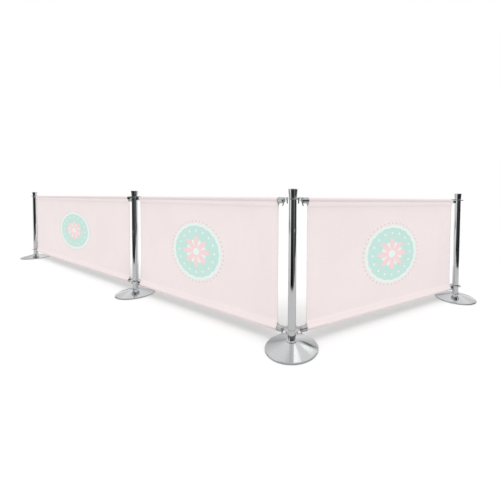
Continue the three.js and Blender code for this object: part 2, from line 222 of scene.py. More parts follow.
def turned(name, outline, sides):
    """Spin an outline of (radius, height) points in millimetres about Z. It runs out, up and back in."""
    bm = bmesh.new()
    uv_map = bm.loops.layers.uv.new("UVMap")
    angles = [FULL_TURN * k / sides for k in range(sides)]
    along = [0.0]
    for before, here in zip(outline, outline[1:]):
        along.append(along[-1] + (here - before).length * MM)
    rings = []
    for radius, height in outline:
        if radius < ON_AXIS:
            rings.append([bm.verts.new((0, 0, height * MM))] * sides)
            continue
        spots = [(radius * MM * math.cos(a), radius * MM * math.sin(a), height * MM) for a in angles]
        rings.append([bm.verts.new(spot) for spot in spots])
    for i, ring in enumerate(rings):
        ahead = (i + 1) % len(rings)
        following = rings[ahead]
        if ring[0] is ring[1] and following[0] is following[1]:
            continue
        for k in range(sides):
            after = (k + 1) % sides
            corners = [
                (ring[k], k, along[i]),
                (ring[after], k + 1, along[i]),
                (following[after], k + 1, along[ahead]),
                (following[k], k, along[ahead]),
            ]
            kept = [corner for n, corner in enumerate(corners) if corner[0] is not corners[n - 1][0]]
            face = bm.faces.new([vertex for vertex, _, _ in kept])
            for loop, (_, side, distance) in zip(face.loops, kept):
                loop[uv_map].uv = (side / sides, distance)
    return mesh_object(name, bm)


print("an outline can be turned now")

# %% [markdown]
# ## Cutting a flat plate
# A ring disc or a hook's tongue is a flat plate with soft edges and holes. The outline is drawn once, and
# the plate is built in levels: each level lies a little further out and lower, so that the edge comes out
# round.

# %% Flat plates with soft edges
EDGE_STEPS = 3


def inset(loop, distance):
    """The loop moved towards its material, which lies on its left."""
    moved = []
    for i, here in enumerate(loop):
        before = (here - loop[i - 1]).normalized()
        after = (loop[(i + 1) % len(loop)] - here).normalized()
        left_before = Vector((-before.y, before.x))
        left_after = Vector((-after.y, after.x))
        moved.append(here + (left_before + left_after) * (distance / (1 + left_before.dot(left_after))))
    return moved


def plate(name, loops, thickness, edge):
    """A plate in the XY plane, in millimetres, with its thickness centred on Z.

    The first loop is the outline, anticlockwise. The others are holes, clockwise.
    """
    bm = bmesh.new()
    levels = []
    for step in range(EDGE_STEPS + 1):
        angle = math.pi / 2 * step / EDGE_STEPS
        levels.append((edge * (1 - math.sin(angle)), thickness / 2 - edge * (1 - math.cos(angle))))
    levels += [(distance, -height) for distance, height in reversed(levels)]
    caps = [[], []]
    for loop in loops:
        rings = []
        for distance, height in levels:
            rings.append([bm.verts.new((p.x * MM, p.y * MM, height * MM)) for p in inset(loop, distance)])
        for upper, lower in zip(rings, rings[1:]):
            for k in range(len(loop)):
                after = (k + 1) % len(loop)
                bm.faces.new([upper[k], lower[k], lower[after], upper[after]])
        for cap, ring in zip(caps, (rings[0], rings[-1])):
            cap += [bm.edges.get((ring[k], ring[k - 1])) for k in range(len(loop))]
    for cap, up in zip(caps, (1, -1)):
        bmesh.ops.triangle_fill(bm, edges=cap, use_beauty=True, normal=(0, 0, up))
    bmesh.ops.recalc_face_normals(bm, faces=bm.faces)
    return mesh_object(name, bm)


print("a plate's edge is rounded in", EDGE_STEPS, "steps")

# %% [markdown]
# ## Joining, cutting and smoothing
# Joining puts several closed shapes in one mesh. Cutting uses the Boolean modifier, because a slot through a
# cup is hard to draw any other way. Smoothing matters most on chrome: a Weighted Normal modifier keeps large
# faces true and puts all the bending of the light into the small rounds.

# %% Joined, cut and smoothed pieces
SHARP_ANGLE = math.radians(50)


def joined(name, parts):
    bm = bmesh.new()
    for part in parts:
        bm.from_mesh(part.data)
        bpy.data.objects.remove(part)
    return mesh_object(name, bm)


def boolean(piece, tool, operation):
    modifier = piece.modifiers.new("solid", "BOOLEAN")
    modifier.operation = operation
    modifier.solver = "EXACT"
    modifier.object = tool
    applied(piece)
    bpy.data.objects.remove(tool)
    return piece


def placed(piece, place):
    piece.data.transform(place)
    return piece


def smoothed(piece):
    piece.data.shade_smooth()
    piece.data.set_sharp_from_angle(angle=SHARP_ANGLE)
    modifier = piece.modifiers.new("even shading", "WEIGHTED_NORMAL")
    modifier.keep_sharp = True
    return applied(piece)


def finished(piece, place, material, body, slot, *replaced):
    """Take a piece to its place, smooth it, give it its finish and hand it over."""
    smoothed(placed(piece, place))
    piece.data.materials.clear()
    piece.data.materials.append(material)
    return hand_over(piece, body, slot, *replaced)


print("helpers for shapes are ready")

# %% [markdown]
# ## Building node trees
# Materials and Geometry Nodes are both trees of nodes. One small helper makes a node, sets it up and joins
# its inputs, so that a tree reads like a sum written from left to right. The others are the sums used most.

# %% Helpers for node trees


def feed(tree, sockets, values):
    """Join each named input to an output, or set it to a constant."""
    for key, value in values.items():
        if isinstance(value, bpy.types.NodeSocket):
            tree.links.new(value, sockets[key])
        else:
            sockets[key].default_value = value


def node(tree, kind, inputs=None, **settings):
    """Make a node, set it up, feed its inputs, and give back its outputs."""
    made = tree.nodes.new(kind)
    for key, value in settings.items():
        setattr(made, key, value)
    feed(tree, made.inputs, inputs or {})
    return made.outputs


def maths(tree, operation, *values):
    return node(tree, "ShaderNodeMath", dict(enumerate(values)), operation=operation)[0]


def vector_maths(tree, operation, *vectors):
    return node(tree, "ShaderNodeVectorMath", dict(enumerate(vectors)), operation=operation)["Vector"]


def measured(tree, operation, *vectors):
    """A number taken from vectors, such as a length."""
    return node(tree, "ShaderNodeVectorMath", dict(enumerate(vectors)), operation=operation)["Value"]


def scaled(tree, vector, factor):
    return node(tree, "ShaderNodeVectorMath", {0: vector, "Scale": factor}, operation="SCALE")["Vector"]


def parts_of(tree, vector):
    """The X, Y and Z of a vector."""
    return node(tree, "ShaderNodeSeparateXYZ", {0: vector})


def vector_of(tree, **parts):
    """A vector from any of its X, Y and Z."""
    return node(tree, "ShaderNodeCombineXYZ", parts)[0]


def ramped(tree, value, low, high, to_low=0.0, to_high=1.0):
    """The value taken smoothly from one range to another, and held at the ends."""
    inputs = {0: value, 1: low, 2: high, 3: to_low, 4: to_high}
    return node(tree, "ShaderNodeMapRange", inputs, interpolation_type="SMOOTHSTEP")[0]


def clamped(tree, value):
    return node(tree, "ShaderNodeClamp", {0: value})[0]


def mixed(tree, share, first, second):
    """One number where the share is 0 and another where it is 1."""
    return node(tree, "ShaderNodeMix", {"Factor": share, 2: first, 3: second})[0]


def blended(tree, share, first, second):
    """One colour where the share is 0 and another where it is 1."""
    return node(tree, "ShaderNodeMix", {"Factor": share, 6: first, 7: second}, data_type="RGBA")[2]


def noise(tree, vector, scale, detail=3.0):
    return node(tree, "ShaderNodeTexNoise", {"Vector": vector, "Scale": scale, "Detail": detail})[0]


print("helpers for node trees are ready")

# %% [markdown]
# ## Effects that several finishes share
# Chrome that is handled shows faint smears. Edges lose their shine first. Dust settles low down. Each effect
# is a group, so that one change reaches every material. A group gives out only masks and values, and the
# shader itself stays in the material.

# %% Groups with named sockets


def shader_group(name, inputs, outputs):
    """A new group. inputs holds names and defaults, where None makes a vector, and outputs holds names."""
    tree = bpy.data.node_groups.new(name, "ShaderNodeTree")
    for socket_name, default in inputs.items():
        kind = "NodeSocketVector" if default is None else "NodeSocketFloat"
        socket = tree.interface.new_socket(name=socket_name, in_out="INPUT", socket_type=kind)
        if default is not None:
            socket.default_value = default
    for socket_name in outputs:
        kind = "NodeSocketColor" if socket_name == "Color" else "NodeSocketFloat"
        tree.interface.new_socket(name=socket_name, in_out="OUTPUT", socket_type=kind)
    return tree, node(tree, "NodeGroupInput"), tree.nodes.new("NodeGroupOutput").inputs


def use(tree, group, **inputs):
    """Place a shared group in a tree, feed its inputs, and give back its outputs."""
    return node(tree, "ShaderNodeGroup", inputs, node_tree=group)


print("helpers for groups are ready")

# %% [markdown]
# Hands leave smears that are broad in places and streaky close up. Two noises of different sizes are
# multiplied, so that a smear shows only where both are strong, and it only changes the roughness.

# %% Shared effects: handling marks
STREAK_SHAPE = (1.0, 1.0, 0.25)
STREAK_SCALE = 60.0
STREAK_DETAIL = 5.0
SMEAR_RANGE = (0.2, 0.42)

smears, given, result = shader_group(
    "Handling marks", {"Place": None, "Size": 9.0, "Amount": 0.05}, ["Roughness", "Mask"]
)
broad = noise(smears, given["Place"], given["Size"])
streak_place = vector_maths(smears, "MULTIPLY", given["Place"], STREAK_SHAPE)
streaky = noise(smears, streak_place, STREAK_SCALE, STREAK_DETAIL)
mask = ramped(smears, maths(smears, "MULTIPLY", broad, streaky), *SMEAR_RANGE)
feed(smears, result, {"Mask": mask, "Roughness": maths(smears, "MULTIPLY", mask, given["Amount"])})
print("handling marks:", len(smears.nodes), "nodes")

# %% [markdown]
# Plating wears through first on the edges that get knocked. The Geometry node's Pointiness is high on such
# edges, and a noise breaks the wear into patches.

# %% Shared effects: edge wear
EDGE_POINTINESS = (0.53, 0.62)
PATCH_SCALE = 120.0
PATCH_DETAIL = 4.0
PATCH_RANGE = (0.35, 0.65)

edge_wear, given, result = shader_group("Edge wear", {"Place": None, "Amount": 0.5}, ["Mask"])
on_edge = ramped(edge_wear, node(edge_wear, "ShaderNodeNewGeometry")["Pointiness"], *EDGE_POINTINESS)
patchy = ramped(edge_wear, noise(edge_wear, given["Place"], PATCH_SCALE, PATCH_DETAIL), *PATCH_RANGE)
worn = maths(edge_wear, "MULTIPLY", maths(edge_wear, "MULTIPLY", on_edge, patchy), given["Amount"])
feed(edge_wear, result, {"Mask": worn})
print("edge wear:", len(edge_wear.nodes), "nodes")

# %% [markdown]
# Dust and splashes gather near the floor. The mask is strongest at height 0, runs out at the given height,
# and is broken into fine specks.

# %% Shared effects: dust
SPECK_SCALE = 240.0
SPECK_DETAIL = 6.0
SPECK_RANGE = (0.4, 0.7)

dust, given, result = shader_group("Dust", {"Place": None, "Height": 0.05, "Amount": 0.3}, ["Mask"])
share_of_height = maths(dust, "DIVIDE", parts_of(dust, given["Place"])[2], given["Height"])
low_down = clamped(dust, maths(dust, "SUBTRACT", 1.0, share_of_height))
specks = ramped(dust, noise(dust, given["Place"], SPECK_SCALE, SPECK_DETAIL), *SPECK_RANGE)
settled = maths(dust, "MULTIPLY", maths(dust, "MULTIPLY", low_down, specks), given["Amount"])
feed(dust, result, {"Mask": settled})
print("dust:", len(dust.nodes), "nodes")

# %% [markdown]
# Every metal and rubber has a fine grain. The group gives its height for a bump, and a tone that is mostly a
# much broader cloud, so that a colour can drift a little over the piece.

# %% Shared effects: fine grain
GRAIN_DETAIL = 2.0
CLOUD_SIZE = 20.0
CLOUD_DETAIL = 4.0
CLOUD_SHARE = 0.7
GRAIN_SHARE = 0.3

grain, given, result = shader_group("Fine grain", {"Place": None, "Size": 900.0}, ["Height", "Tone"])
fine = noise(grain, given["Place"], given["Size"], GRAIN_DETAIL)
cloudy = noise(grain, given["Place"], maths(grain, "DIVIDE", given["Size"], CLOUD_SIZE), CLOUD_DETAIL)
tone = maths(grain, "MULTIPLY_ADD", cloudy, CLOUD_SHARE, maths(grain, "MULTIPLY", fine, GRAIN_SHARE))
feed(grain, result, {"Height": fine, "Tone": tone})
print("fine grain:", len(grain.nodes), "nodes")

# %% [markdown]
# ## Metal finishes
# A metal is Metallic 1 with its colour in Base Color, and its polish is the Roughness. The differences
# between bright tube, spun cover and cast hook are small: how rough, how even, and what the surface does
# close up.

# %% A new material


def new_material(name):
    """A material with its tree, its shader, and the place on the object."""
    material = bpy.data.materials.new(name)
    material.use_nodes = True
    tree = material.node_tree
    shader = tree.nodes["Principled BSDF"]
    place = node(tree, "ShaderNodeTexCoord")["Object"]
    return material, tree, shader, place


def bump(tree, height, strength, depth):
    """The normal of a surface with a fine relief. The depth is in metres."""
    return node(tree, "ShaderNodeBump", {"Height": height, "Strength": strength, "Distance": depth})[0]


print("helpers for materials are ready")

# %% [markdown]
# The tubes, caps, rings, covers and hooks are all chromed. One function makes each chrome: smears make it
# rougher, and worn edges and dust make it duller and rougher. What the surface does close up differs from
# one to the next, so it is handed in as a function. The bright chrome is close to a mirror, and the cast
# hooks are polished less, so their chrome is softer.

# %% Bright and soft chrome
WORN_CHROME = (0.52, 0.51, 0.50, 1)
DULL_ROUGHNESS = 0.3
POLISH_GRAIN = 700.0


def polished_metal(name, color, roughness, wear, smearing, dusting, surface):
    """Bright metal that is duller where it is handled, worn or dusty. surface gives its normal."""
    material, tree, shader, place = new_material(name)
    marks = use(tree, smears, Place=place, **smearing)
    edges = use(tree, edge_wear, Place=place, Amount=wear)
    settled = use(tree, dust, Place=place, **dusting)
    dull = maths(tree, "ADD", edges["Mask"], settled["Mask"])
    smeared = maths(tree, "ADD", marks["Roughness"], roughness)
    feed(tree, shader.inputs, {
        "Base Color": blended(tree, dull, color, WORN_CHROME),
        "Roughness": maths(tree, "MULTIPLY_ADD", dull, DULL_ROUGHNESS, smeared),
        "Metallic": 1.0,
        "Normal": surface(tree, place),
    })
    return material


def fine_polish(tree, place):
    return bump(tree, use(tree, grain, Place=place, Size=POLISH_GRAIN)["Height"], 0.02, 0.0002)


chrome = polished_metal(
    "bright_chrome", color=(0.80, 0.81, 0.82, 1), roughness=0.045, wear=0.35,
    smearing={"Amount": 0.05}, dusting={"Amount": 0.25}, surface=fine_polish,
)
hook_chrome = polished_metal(
    "soft_chrome", color=(0.63, 0.64, 0.65, 1), roughness=0.12, wear=0.6,
    smearing={"Amount": 0.08}, dusting={"Amount": 0.25}, surface=fine_polish,
)
print("chrome finishes:", chrome.name, hook_chrome.name)

# %% [markdown]
# A spun cover keeps fine lines from the tool that pressed it, round and round the cone. They are a sine wave
# along V of the UV map, with a little noise so that the pitch isn't quite even.

# %% Spun chrome, for the base cover
TURNING_PITCH = 1.6 * MM
WOBBLE_SCALE = 40.0
WOBBLE = 3.0


def turning_lines(tree, place):
    uv = node(tree, "ShaderNodeTexCoord")["UV"]
    wobble = maths(tree, "MULTIPLY", noise(tree, uv, WOBBLE_SCALE), WOBBLE)
    turns = maths(tree, "MULTIPLY", parts_of(tree, uv)[1], FULL_TURN / TURNING_PITCH)
    lines = maths(tree, "SINE", maths(tree, "ADD", turns, wobble))
    return bump(tree, lines, 0.05, 0.00005)


spun_chrome = polished_metal(
    "spun_chrome", color=(0.76, 0.77, 0.78, 1), roughness=0.06, wear=0.5,
    smearing={"Amount": 0.06, "Size": 14.0}, dusting={"Height": 0.06, "Amount": 0.35}, surface=turning_lines,
)
print("spun chrome has a line every", TURNING_PITCH / MM, "millimetres")

# %% [markdown]
# The other metals aren't mirrors. Plated steel and zinc have an even grain, a drawn tube has its grain
# pulled out along its length, and painted iron keeps the roughness of its casting. One function makes all
# four.

# %% Plated steel, drawn aluminium, zinc plate and cast iron
GRAIN_WEAR = 0.6
GRAIN_ROUGHNESS = 0.2
GRAIN_RELIEF = 0.25
DRAWN_OUT = (0.02, 0.02, 1.0)


def grained_metal(name, light, dark, roughness, size, depth, direction=(1.0, 1.0, 1.0)):
    """A metal whose tone and roughness vary with a fine grain, drawn out along one direction."""
    material, tree, shader, place = new_material(name)
    tone = use(tree, grain, Place=vector_maths(tree, "MULTIPLY", place, direction), Size=size)
    edges = use(tree, edge_wear, Place=place, Amount=GRAIN_WEAR)
    shade = maths(tree, "MAXIMUM", tone["Tone"], edges["Mask"])
    feed(tree, shader.inputs, {
        "Base Color": blended(tree, shade, dark, light),
        "Roughness": maths(tree, "MULTIPLY_ADD", tone["Tone"], GRAIN_ROUGHNESS, roughness),
        "Metallic": 1.0,
        "Normal": bump(tree, tone["Height"], GRAIN_RELIEF, depth),
    })
    return material


trigger_steel = grained_metal(
    "plated_steel", light=(0.58, 0.58, 0.59, 1), dark=(0.36, 0.36, 0.37, 1),
    roughness=0.22, size=1500.0, depth=0.0001,
)
bar_aluminium = grained_metal(
    "drawn_aluminium", light=(0.78, 0.79, 0.80, 1), dark=(0.60, 0.61, 0.62, 1),
    roughness=0.28, size=1800.0, depth=0.0001, direction=DRAWN_OUT,
)
zinc_plate = grained_metal(
    "zinc_plate", light=(0.66, 0.66, 0.60, 1), dark=(0.44, 0.45, 0.42, 1),
    roughness=0.34, size=700.0, depth=0.0002,
)
cast_iron = grained_metal(
    "painted_iron", light=(0.10, 0.10, 0.11, 1), dark=(0.04, 0.04, 0.045, 1),
    roughness=0.55, size=500.0, depth=0.0008,
)
print("grained metals:", trigger_steel.name, bar_aluminium.name, zinc_plate.name, cast_iron.name)

# %% [markdown]
# The foot pads are matt black rubber. Rubber is no metal, so it keeps Metallic 0, and what makes it look
# real is the fine grain of the mould and the dust that stays in its lowest millimetres.

# %% Moulded rubber, for the foot pads
RUBBER_DARK = (0.018, 0.018, 0.019, 1)
RUBBER_LIGHT = (0.045, 0.045, 0.047, 1)
RUBBER_DUST = (0.20, 0.19, 0.18, 1)
RUBBER_ROUGHNESS = 0.78


def rubber_finish():
    material, tree, shader, place = new_material("black_rubber")
    tone = use(tree, grain, Place=place, Size=1100.0)
    settled = use(tree, dust, Place=place, Height=0.01, Amount=0.5)
    body = blended(tree, tone["Tone"], RUBBER_DARK, RUBBER_LIGHT)
    feed(tree, shader.inputs, {
        "Base Color": blended(tree, settled["Mask"], body, RUBBER_DUST),
        "Roughness": maths(tree, "MULTIPLY_ADD", tone["Tone"], 0.15, RUBBER_ROUGHNESS),
        "Normal": bump(tree, tone["Height"], 0.4, 0.0003),
    })
    return material


rubber = rubber_finish()
print("rubber is ready, with roughness", RUBBER_ROUGHNESS)

# %% [markdown]
# ## The posts
# A post is a steel tube with a welded foot flange. It is spun from one outline: the flange, a small weld
# fillet, the long wall, the open top, and the bore down to the plug that takes the base bolt. In every
# outline the third number is the radius of the round at that corner.

# %% Post tubes
TUBE_RADIUS = 24.0
TUBE_BORE = 22.5
TUBE_FOOT = 45.3
TUBE_TOP = 887.2
FLANGE_RADIUS = 32.0
FLANGE_THICKNESS = 5.0
WELD_RADIUS = 2.5
PLUG_TOP = 65.3
BOLT_BORE = 5.3
TUBE_SIDES = 96

flange_top = TUBE_FOOT + FLANGE_THICKNESS
tube_outline = rounded([
    (BOLT_BORE, TUBE_FOOT, 0),
    (FLANGE_RADIUS, TUBE_FOOT, 0.8),
    (FLANGE_RADIUS, flange_top, 1.5),
    (TUBE_RADIUS, flange_top, WELD_RADIUS),
    (TUBE_RADIUS, TUBE_TOP, 0.4),
    (TUBE_BORE, TUBE_TOP, 0.4),
    (TUBE_BORE, PLUG_TOP, 0),
    (BOLT_BORE, PLUG_TOP, 0),
])


def on_post(post, piece, material, slot, part):
    """Finish a piece of a post, which rides on the post and stands for one of its parts."""
    return finished(piece, POSTS[post], material, f"{post}_post", slot, f"{post}_{part}")


def post_tube(post):
    return on_post(post, turned(f"{post}_tube", tube_outline, TUBE_SIDES), chrome, "chrome", "post_tube")


tubes = [post_tube(post) for post in POSTS]
print("post tubes:", len(tubes), "with", face_count(tubes[0]), "faces each")

# %% [markdown]
# The cap flares from the tube to a flat top with a thin lip. A stud below it screws into the ring and pulls
# both down on the tube.

# %% Caps
RING_SEAT = 895.8
CAP_TOP = 950.0
CAP_RADIUS = 30.0
LIP_HEIGHT = 5.0
LIP_STEP = 1.4
STUD_RADIUS = 6.0
STUD_LENGTH = 20.0

lip_bottom = CAP_TOP - LIP_HEIGHT
cap_outline = rounded([
    (0, RING_SEAT - STUD_LENGTH, 0),
    (STUD_RADIUS, RING_SEAT - STUD_LENGTH, 1.0),
    (STUD_RADIUS, RING_SEAT, 0.5),
    (TUBE_RADIUS, RING_SEAT, 0.5),
    (CAP_RADIUS - LIP_STEP, lip_bottom, 0.6),
    (CAP_RADIUS, lip_bottom, 0.6),
    (CAP_RADIUS, CAP_TOP, 1.2),
    (0, CAP_TOP, 0),
])


def post_cap(post):
    return on_post(post, turned(f"{post}_cap", cap_outline, TUBE_SIDES), chrome, "chrome", "post_cap")


caps = [post_cap(post) for post in POSTS]
print("caps:", len(caps), "with", face_count(caps[0]), "faces each")

# %% [markdown]
# Each post carries two rings with four holes, and a banner's hooks drop into them. A ring is a flat plate
# cut from a drawn outline. The top one also has a spigot that fits the tube and a low seat for the cap,
# which are turned and joined to it.

# %% Rings
RING_RADIUS = 44.0
RING_THICKNESS = 7.0
TOP_RING_MIDDLE = 891.0
BOTTOM_RING_MIDDLE = 117.0
RING_HOLES = 4
RING_HOLE_RADIUS = 5.0
HOLE_CIRCLE = 33.5
HOLE_SIDES = 28
RING_EDGE = 0.9
RING_BORE = 24.3
SPIGOT_RADIUS = 22.2
SPIGOT_BOTTOM = 867.5
SHOULDER_HALF = 1.0
STUD_BORE = 6.3
SEAT_TOP = 895.5

spigot_outline = rounded([
    (STUD_BORE, SPIGOT_BOTTOM, 0.5),
    (SPIGOT_RADIUS, SPIGOT_BOTTOM, 0.8),
    (SPIGOT_RADIUS, TOP_RING_MIDDLE - SHOULDER_HALF, 0),
    (TUBE_RADIUS, TOP_RING_MIDDLE + SHOULDER_HALF, 0),
    (TUBE_RADIUS, SEAT_TOP, 0.3),
    (STUD_BORE, SEAT_TOP, 0.3),
])


def circle(centre, radius, sides, way=1):
    """A closed loop round a centre, anticlockwise, or clockwise where way is -1."""
    return arc_points(centre, radius, 0, way * FULL_TURN, sides)[:-1]


def ring_disc(name, bore, middle):
    loops = [circle((0, 0), RING_RADIUS, TUBE_SIDES), circle((0, 0), bore, TUBE_SIDES, way=-1)]
    for k in range(RING_HOLES):
        angle = FULL_TURN * k / RING_HOLES
        hole = (HOLE_CIRCLE * math.cos(angle), HOLE_CIRCLE * math.sin(angle))
        loops.append(circle(hole, RING_HOLE_RADIUS, HOLE_SIDES, way=-1))
    disc = plate(name, loops, RING_THICKNESS, RING_EDGE)
    return placed(disc, Matrix.Translation((0, 0, middle * MM)))


def top_ring(post):
    spigot = turned("spigot", spigot_outline, TUBE_SIDES)
    disc = ring_disc("disc", SPIGOT_RADIUS - RING_EDGE, TOP_RING_MIDDLE)
    return on_post(post, joined(f"{post}_upper_ring", [disc, spigot]), chrome, "chrome", "top_ring")


def bottom_ring(post):
    disc = ring_disc(f"{post}_lower_ring", RING_BORE, BOTTOM_RING_MIDDLE)
    return on_post(post, disc, chrome, "chrome", "bottom_ring")


rings = [ring for post in POSTS for ring in (top_ring(post), bottom_ring(post))]
print("rings:", len(rings), "with", face_count(rings[0]), "and", face_count(rings[1]), "faces")

# %% [markdown]
# ## The bases
# The cover is spun from thin sheet: a low cone with a rolled rim, open below, over an iron weight. Spinning
# leaves fine lines round the cone, and those come from the finish, along the V of the UV map. The slope of
# the cone is worked out so that it runs smoothly into the round of the rim.

# %% Base covers
COVER_TOP = 45.0
COVER_WALL = 1.5
COVER_FLAT = 34.0
COVER_HOLE = 8.0
RIM_CENTRE = (155.0, 6.5)
RIM_ROUND = 5.0
RIM_ROUND_STEPS = 12
BASE_SIDES = 160

cone_run = RIM_CENTRE[0] - COVER_FLAT
cone_rise = COVER_TOP - RIM_CENTRE[1]
CONE_ANGLE = math.atan2(cone_rise, cone_run) - math.asin(RIM_ROUND / math.hypot(cone_run, cone_rise))


def cover_outline():
    bottom = -math.pi / 2
    shoulder = math.pi / 2 - CONE_ANGLE
    outer = arc_points(RIM_CENTRE, RIM_ROUND, bottom, shoulder, RIM_ROUND_STEPS)
    inner = arc_points(RIM_CENTRE, RIM_ROUND - COVER_WALL, shoulder, bottom, RIM_ROUND_STEPS)
    crown = rounded([
        (*outer[-1], 0),
        (COVER_FLAT, COVER_TOP, 6.0),
        (COVER_HOLE, COVER_TOP, 0),
        (COVER_HOLE, COVER_TOP - COVER_WALL, 0),
        (COVER_FLAT, COVER_TOP - COVER_WALL, 4.0),
        (*inner[0], 0),
    ])
    return outer[:-1] + crown + inner[1:]


def base_cover(post):
    cover = turned(f"{post}_cover", cover_outline(), BASE_SIDES)
    return on_post(post, cover, spun_chrome, "base_chrome", "base_cover")


covers = [base_cover(post) for post in POSTS]
print("base covers:", len(covers), "cone angle in degrees:", round(math.degrees(CONE_ANGLE), 1))

# %% [markdown]
# The rubber pad keeps the iron off the floor. Its underside is moulded with rings that grip, so the outline
# has a row of shallow grooves, made by a loop.

# %% Foot pads
PAD_RADIUS = 148.0
PAD_THICKNESS = 3.0
PAD_EDGE = 0.5
PAD_GROOVES = 9
GROOVE = ((-2.5, 0.0), (-1.25, 1.0), (1.25, 1.0), (2.5, 0.0))


def pad_outline():
    corners = [(0, 0)]
    pitch = PAD_RADIUS / (PAD_GROOVES + 1)
    for k in range(1, PAD_GROOVES + 1):
        corners += [(pitch * k + across, up) for across, up in GROOVE]
    corners += [
        (PAD_RADIUS - PAD_EDGE, 0),
        (PAD_RADIUS, PAD_EDGE),
        (PAD_RADIUS, PAD_THICKNESS - PAD_EDGE),
        (PAD_RADIUS - PAD_EDGE, PAD_THICKNESS),
        (0, PAD_THICKNESS),
    ]
    return [Vector(corner) for corner in corners]


def foot_pad(post):
    pad = turned(f"{post}_pad", pad_outline(), BASE_SIDES)
    return on_post(post, pad, rubber, "rubber", "foot_pad")


pads = [foot_pad(post) for post in POSTS]
print("foot pads:", len(pads), "with", PAD_GROOVES, "grooves each")

# %% [markdown]
# The iron weight and the hex bolt are hidden under the cover, so the solids of the working model stay as
# they are. They only need a finish that is right when someone lifts the base apart.

# %% Weights and bolts keep their solids
for post in POSTS:
    for part, finish in (("base_weight", cast_iron), ("base_bolt", zinc_plate)):
        for slot in frame["nodes"][f"{post}_{part}"].material_slots:
            slot.material = finish
print("weights and bolts have their finishes")

# %% [markdown]
# ## The crossbars
# A thin drawn tube runs through each pocket and ends in two hooked cups. It hardly shows, but it gives the
# pocket its round top, and it is seen at the pocket's open ends. A turned piece stands upright, so ON_X lays
# it along the panel.

# %% Crossbar tubes
BAR_RADIUS = 16.0
BAR_BORE = 14.5
BAR_START = 40.3
BAR_EDGE = 0.3
BAR_SIDES = 64
ON_X = Matrix.Rotation(math.pi / 2, 4, "Y")


def on_panel(panel, piece, place, material, slot, part):
    """Finish a piece of a panel, which rides on the panel and stands for one of its parts."""
    return finished(piece, place, material, f"{panel}_panel", slot, f"{panel}_{part}")


def crossbar(panel, level):
    end = SPANS[panel] - BAR_START
    outline = rounded([
        (BAR_BORE, BAR_START, BAR_EDGE),
        (BAR_RADIUS, BAR_START, BAR_EDGE),
        (BAR_RADIUS, end, BAR_EDGE),
        (BAR_BORE, end, BAR_EDGE),
    ])
    place = PANELS[panel] @ Matrix.Translation((0, 0, BAR_HEIGHTS[panel, level] * MM)) @ ON_X
    piece = turned(f"{panel}_{level}_crossbar", outline, BAR_SIDES)
    return on_panel(panel, piece, place, bar_aluminium, "bar_aluminium", f"{level}_bar")


bars = [crossbar(*bar) for bar in ALL_BARS]
print("crossbars:", len(bars), "top one at height", round(BAR_HEIGHTS["middle", "top"], 1))

# %% [markdown]
# ## The hooked ends
# A hooked end is a casting: a cup over the bar, a flat tongue that lies on the ring, and a pin that drops
# through the ring's hole. The cup and the pin are turned, and the tongue is a plate. All three are drawn
# about the point where the pin's axis meets the bar's axis, with X towards the banner.

# %% Cup, tongue and pin
CUP_RADIUS = 18.3
CUP_BORE = 16.3
CUP_NOSE = 20.0
CUP_FLOOR = 40.0
CUP_END = 61.0
CUP_COLLAR = 19.8
COLLAR_LENGTH = 6.0
NOSE_CHAMFER = 7.0
TONGUE_BOTTOM = 12.3
TONGUE_TOP = 17.3
TONGUE_HALF_WIDTH = 7.0
TONGUE_INSIDE = 29.0
TONGUE_EDGE = 1.0
PIN_RADIUS = 4.0
PIN_TIP = -19.0
PIN_TOP = 14.8
PIN_CHAMFER = 2.0
PIN_SIDES = 28

cup_outline = rounded([
    (0, CUP_NOSE, 0),
    (CUP_RADIUS - NOSE_CHAMFER, CUP_NOSE, 2.5),
    (CUP_RADIUS, CUP_NOSE + NOSE_CHAMFER, 3.0),
    (CUP_RADIUS, CUP_END - COLLAR_LENGTH, 0.5),
    (CUP_COLLAR, CUP_END - COLLAR_LENGTH, 0.6),
    (CUP_COLLAR, CUP_END, 0.8),
    (CUP_BORE, CUP_END, 0.5),
    (CUP_BORE, CUP_FLOOR, 0),
    (0, CUP_FLOOR, 0),
])
pin_outline = rounded([
    (0, PIN_TIP, 0),
    (PIN_RADIUS - PIN_CHAMFER, PIN_TIP, 0.6),
    (PIN_RADIUS, PIN_TIP + PIN_CHAMFER, 0.6),
    (PIN_RADIUS, PIN_TOP, 0),
    (0, PIN_TOP, 0),
])


def hook_tongue():
    half = TONGUE_HALF_WIDTH
    round_end = arc_points((0, 0), half, math.pi / 2, 3 * math.pi / 2, PIN_SIDES)
    outline = round_end + [Vector((TONGUE_INSIDE, -half)), Vector((TONGUE_INSIDE, half))]
    tongue = plate("tongue", [outline], TONGUE_TOP - TONGUE_BOTTOM, TONGUE_EDGE)
    return placed(tongue, Matrix.Translation((0, 0, (TONGUE_TOP + TONGUE_BOTTOM) / 2 * MM)))


print("the cup reaches from", CUP_NOSE, "to", CUP_END, "millimetres beyond the pin")

# %% [markdown]
# At one end of each bar the cup is sprung: a trigger slides in a slot. The slot is drawn as the side view of
# the space that the trigger needs, a little wider all round, and cut away as a block.

# %% Slot for the trigger
CATCH_TIP = 6.0
CATCH_BOTTOM = 0.0
CATCH_TOP = 4.0
CATCH_WIDTH = 8.0
SLIDE_GAP = 0.4
FINGER_FRONT = 24.0
FINGER_BACK = 30.0
TRIGGER_TRAVEL = 8.0
SLOT_PAST = 2.0
SLOT_EDGE = 0.2
ON_EDGE = Matrix.Rotation(math.pi / 2, 4, "X")


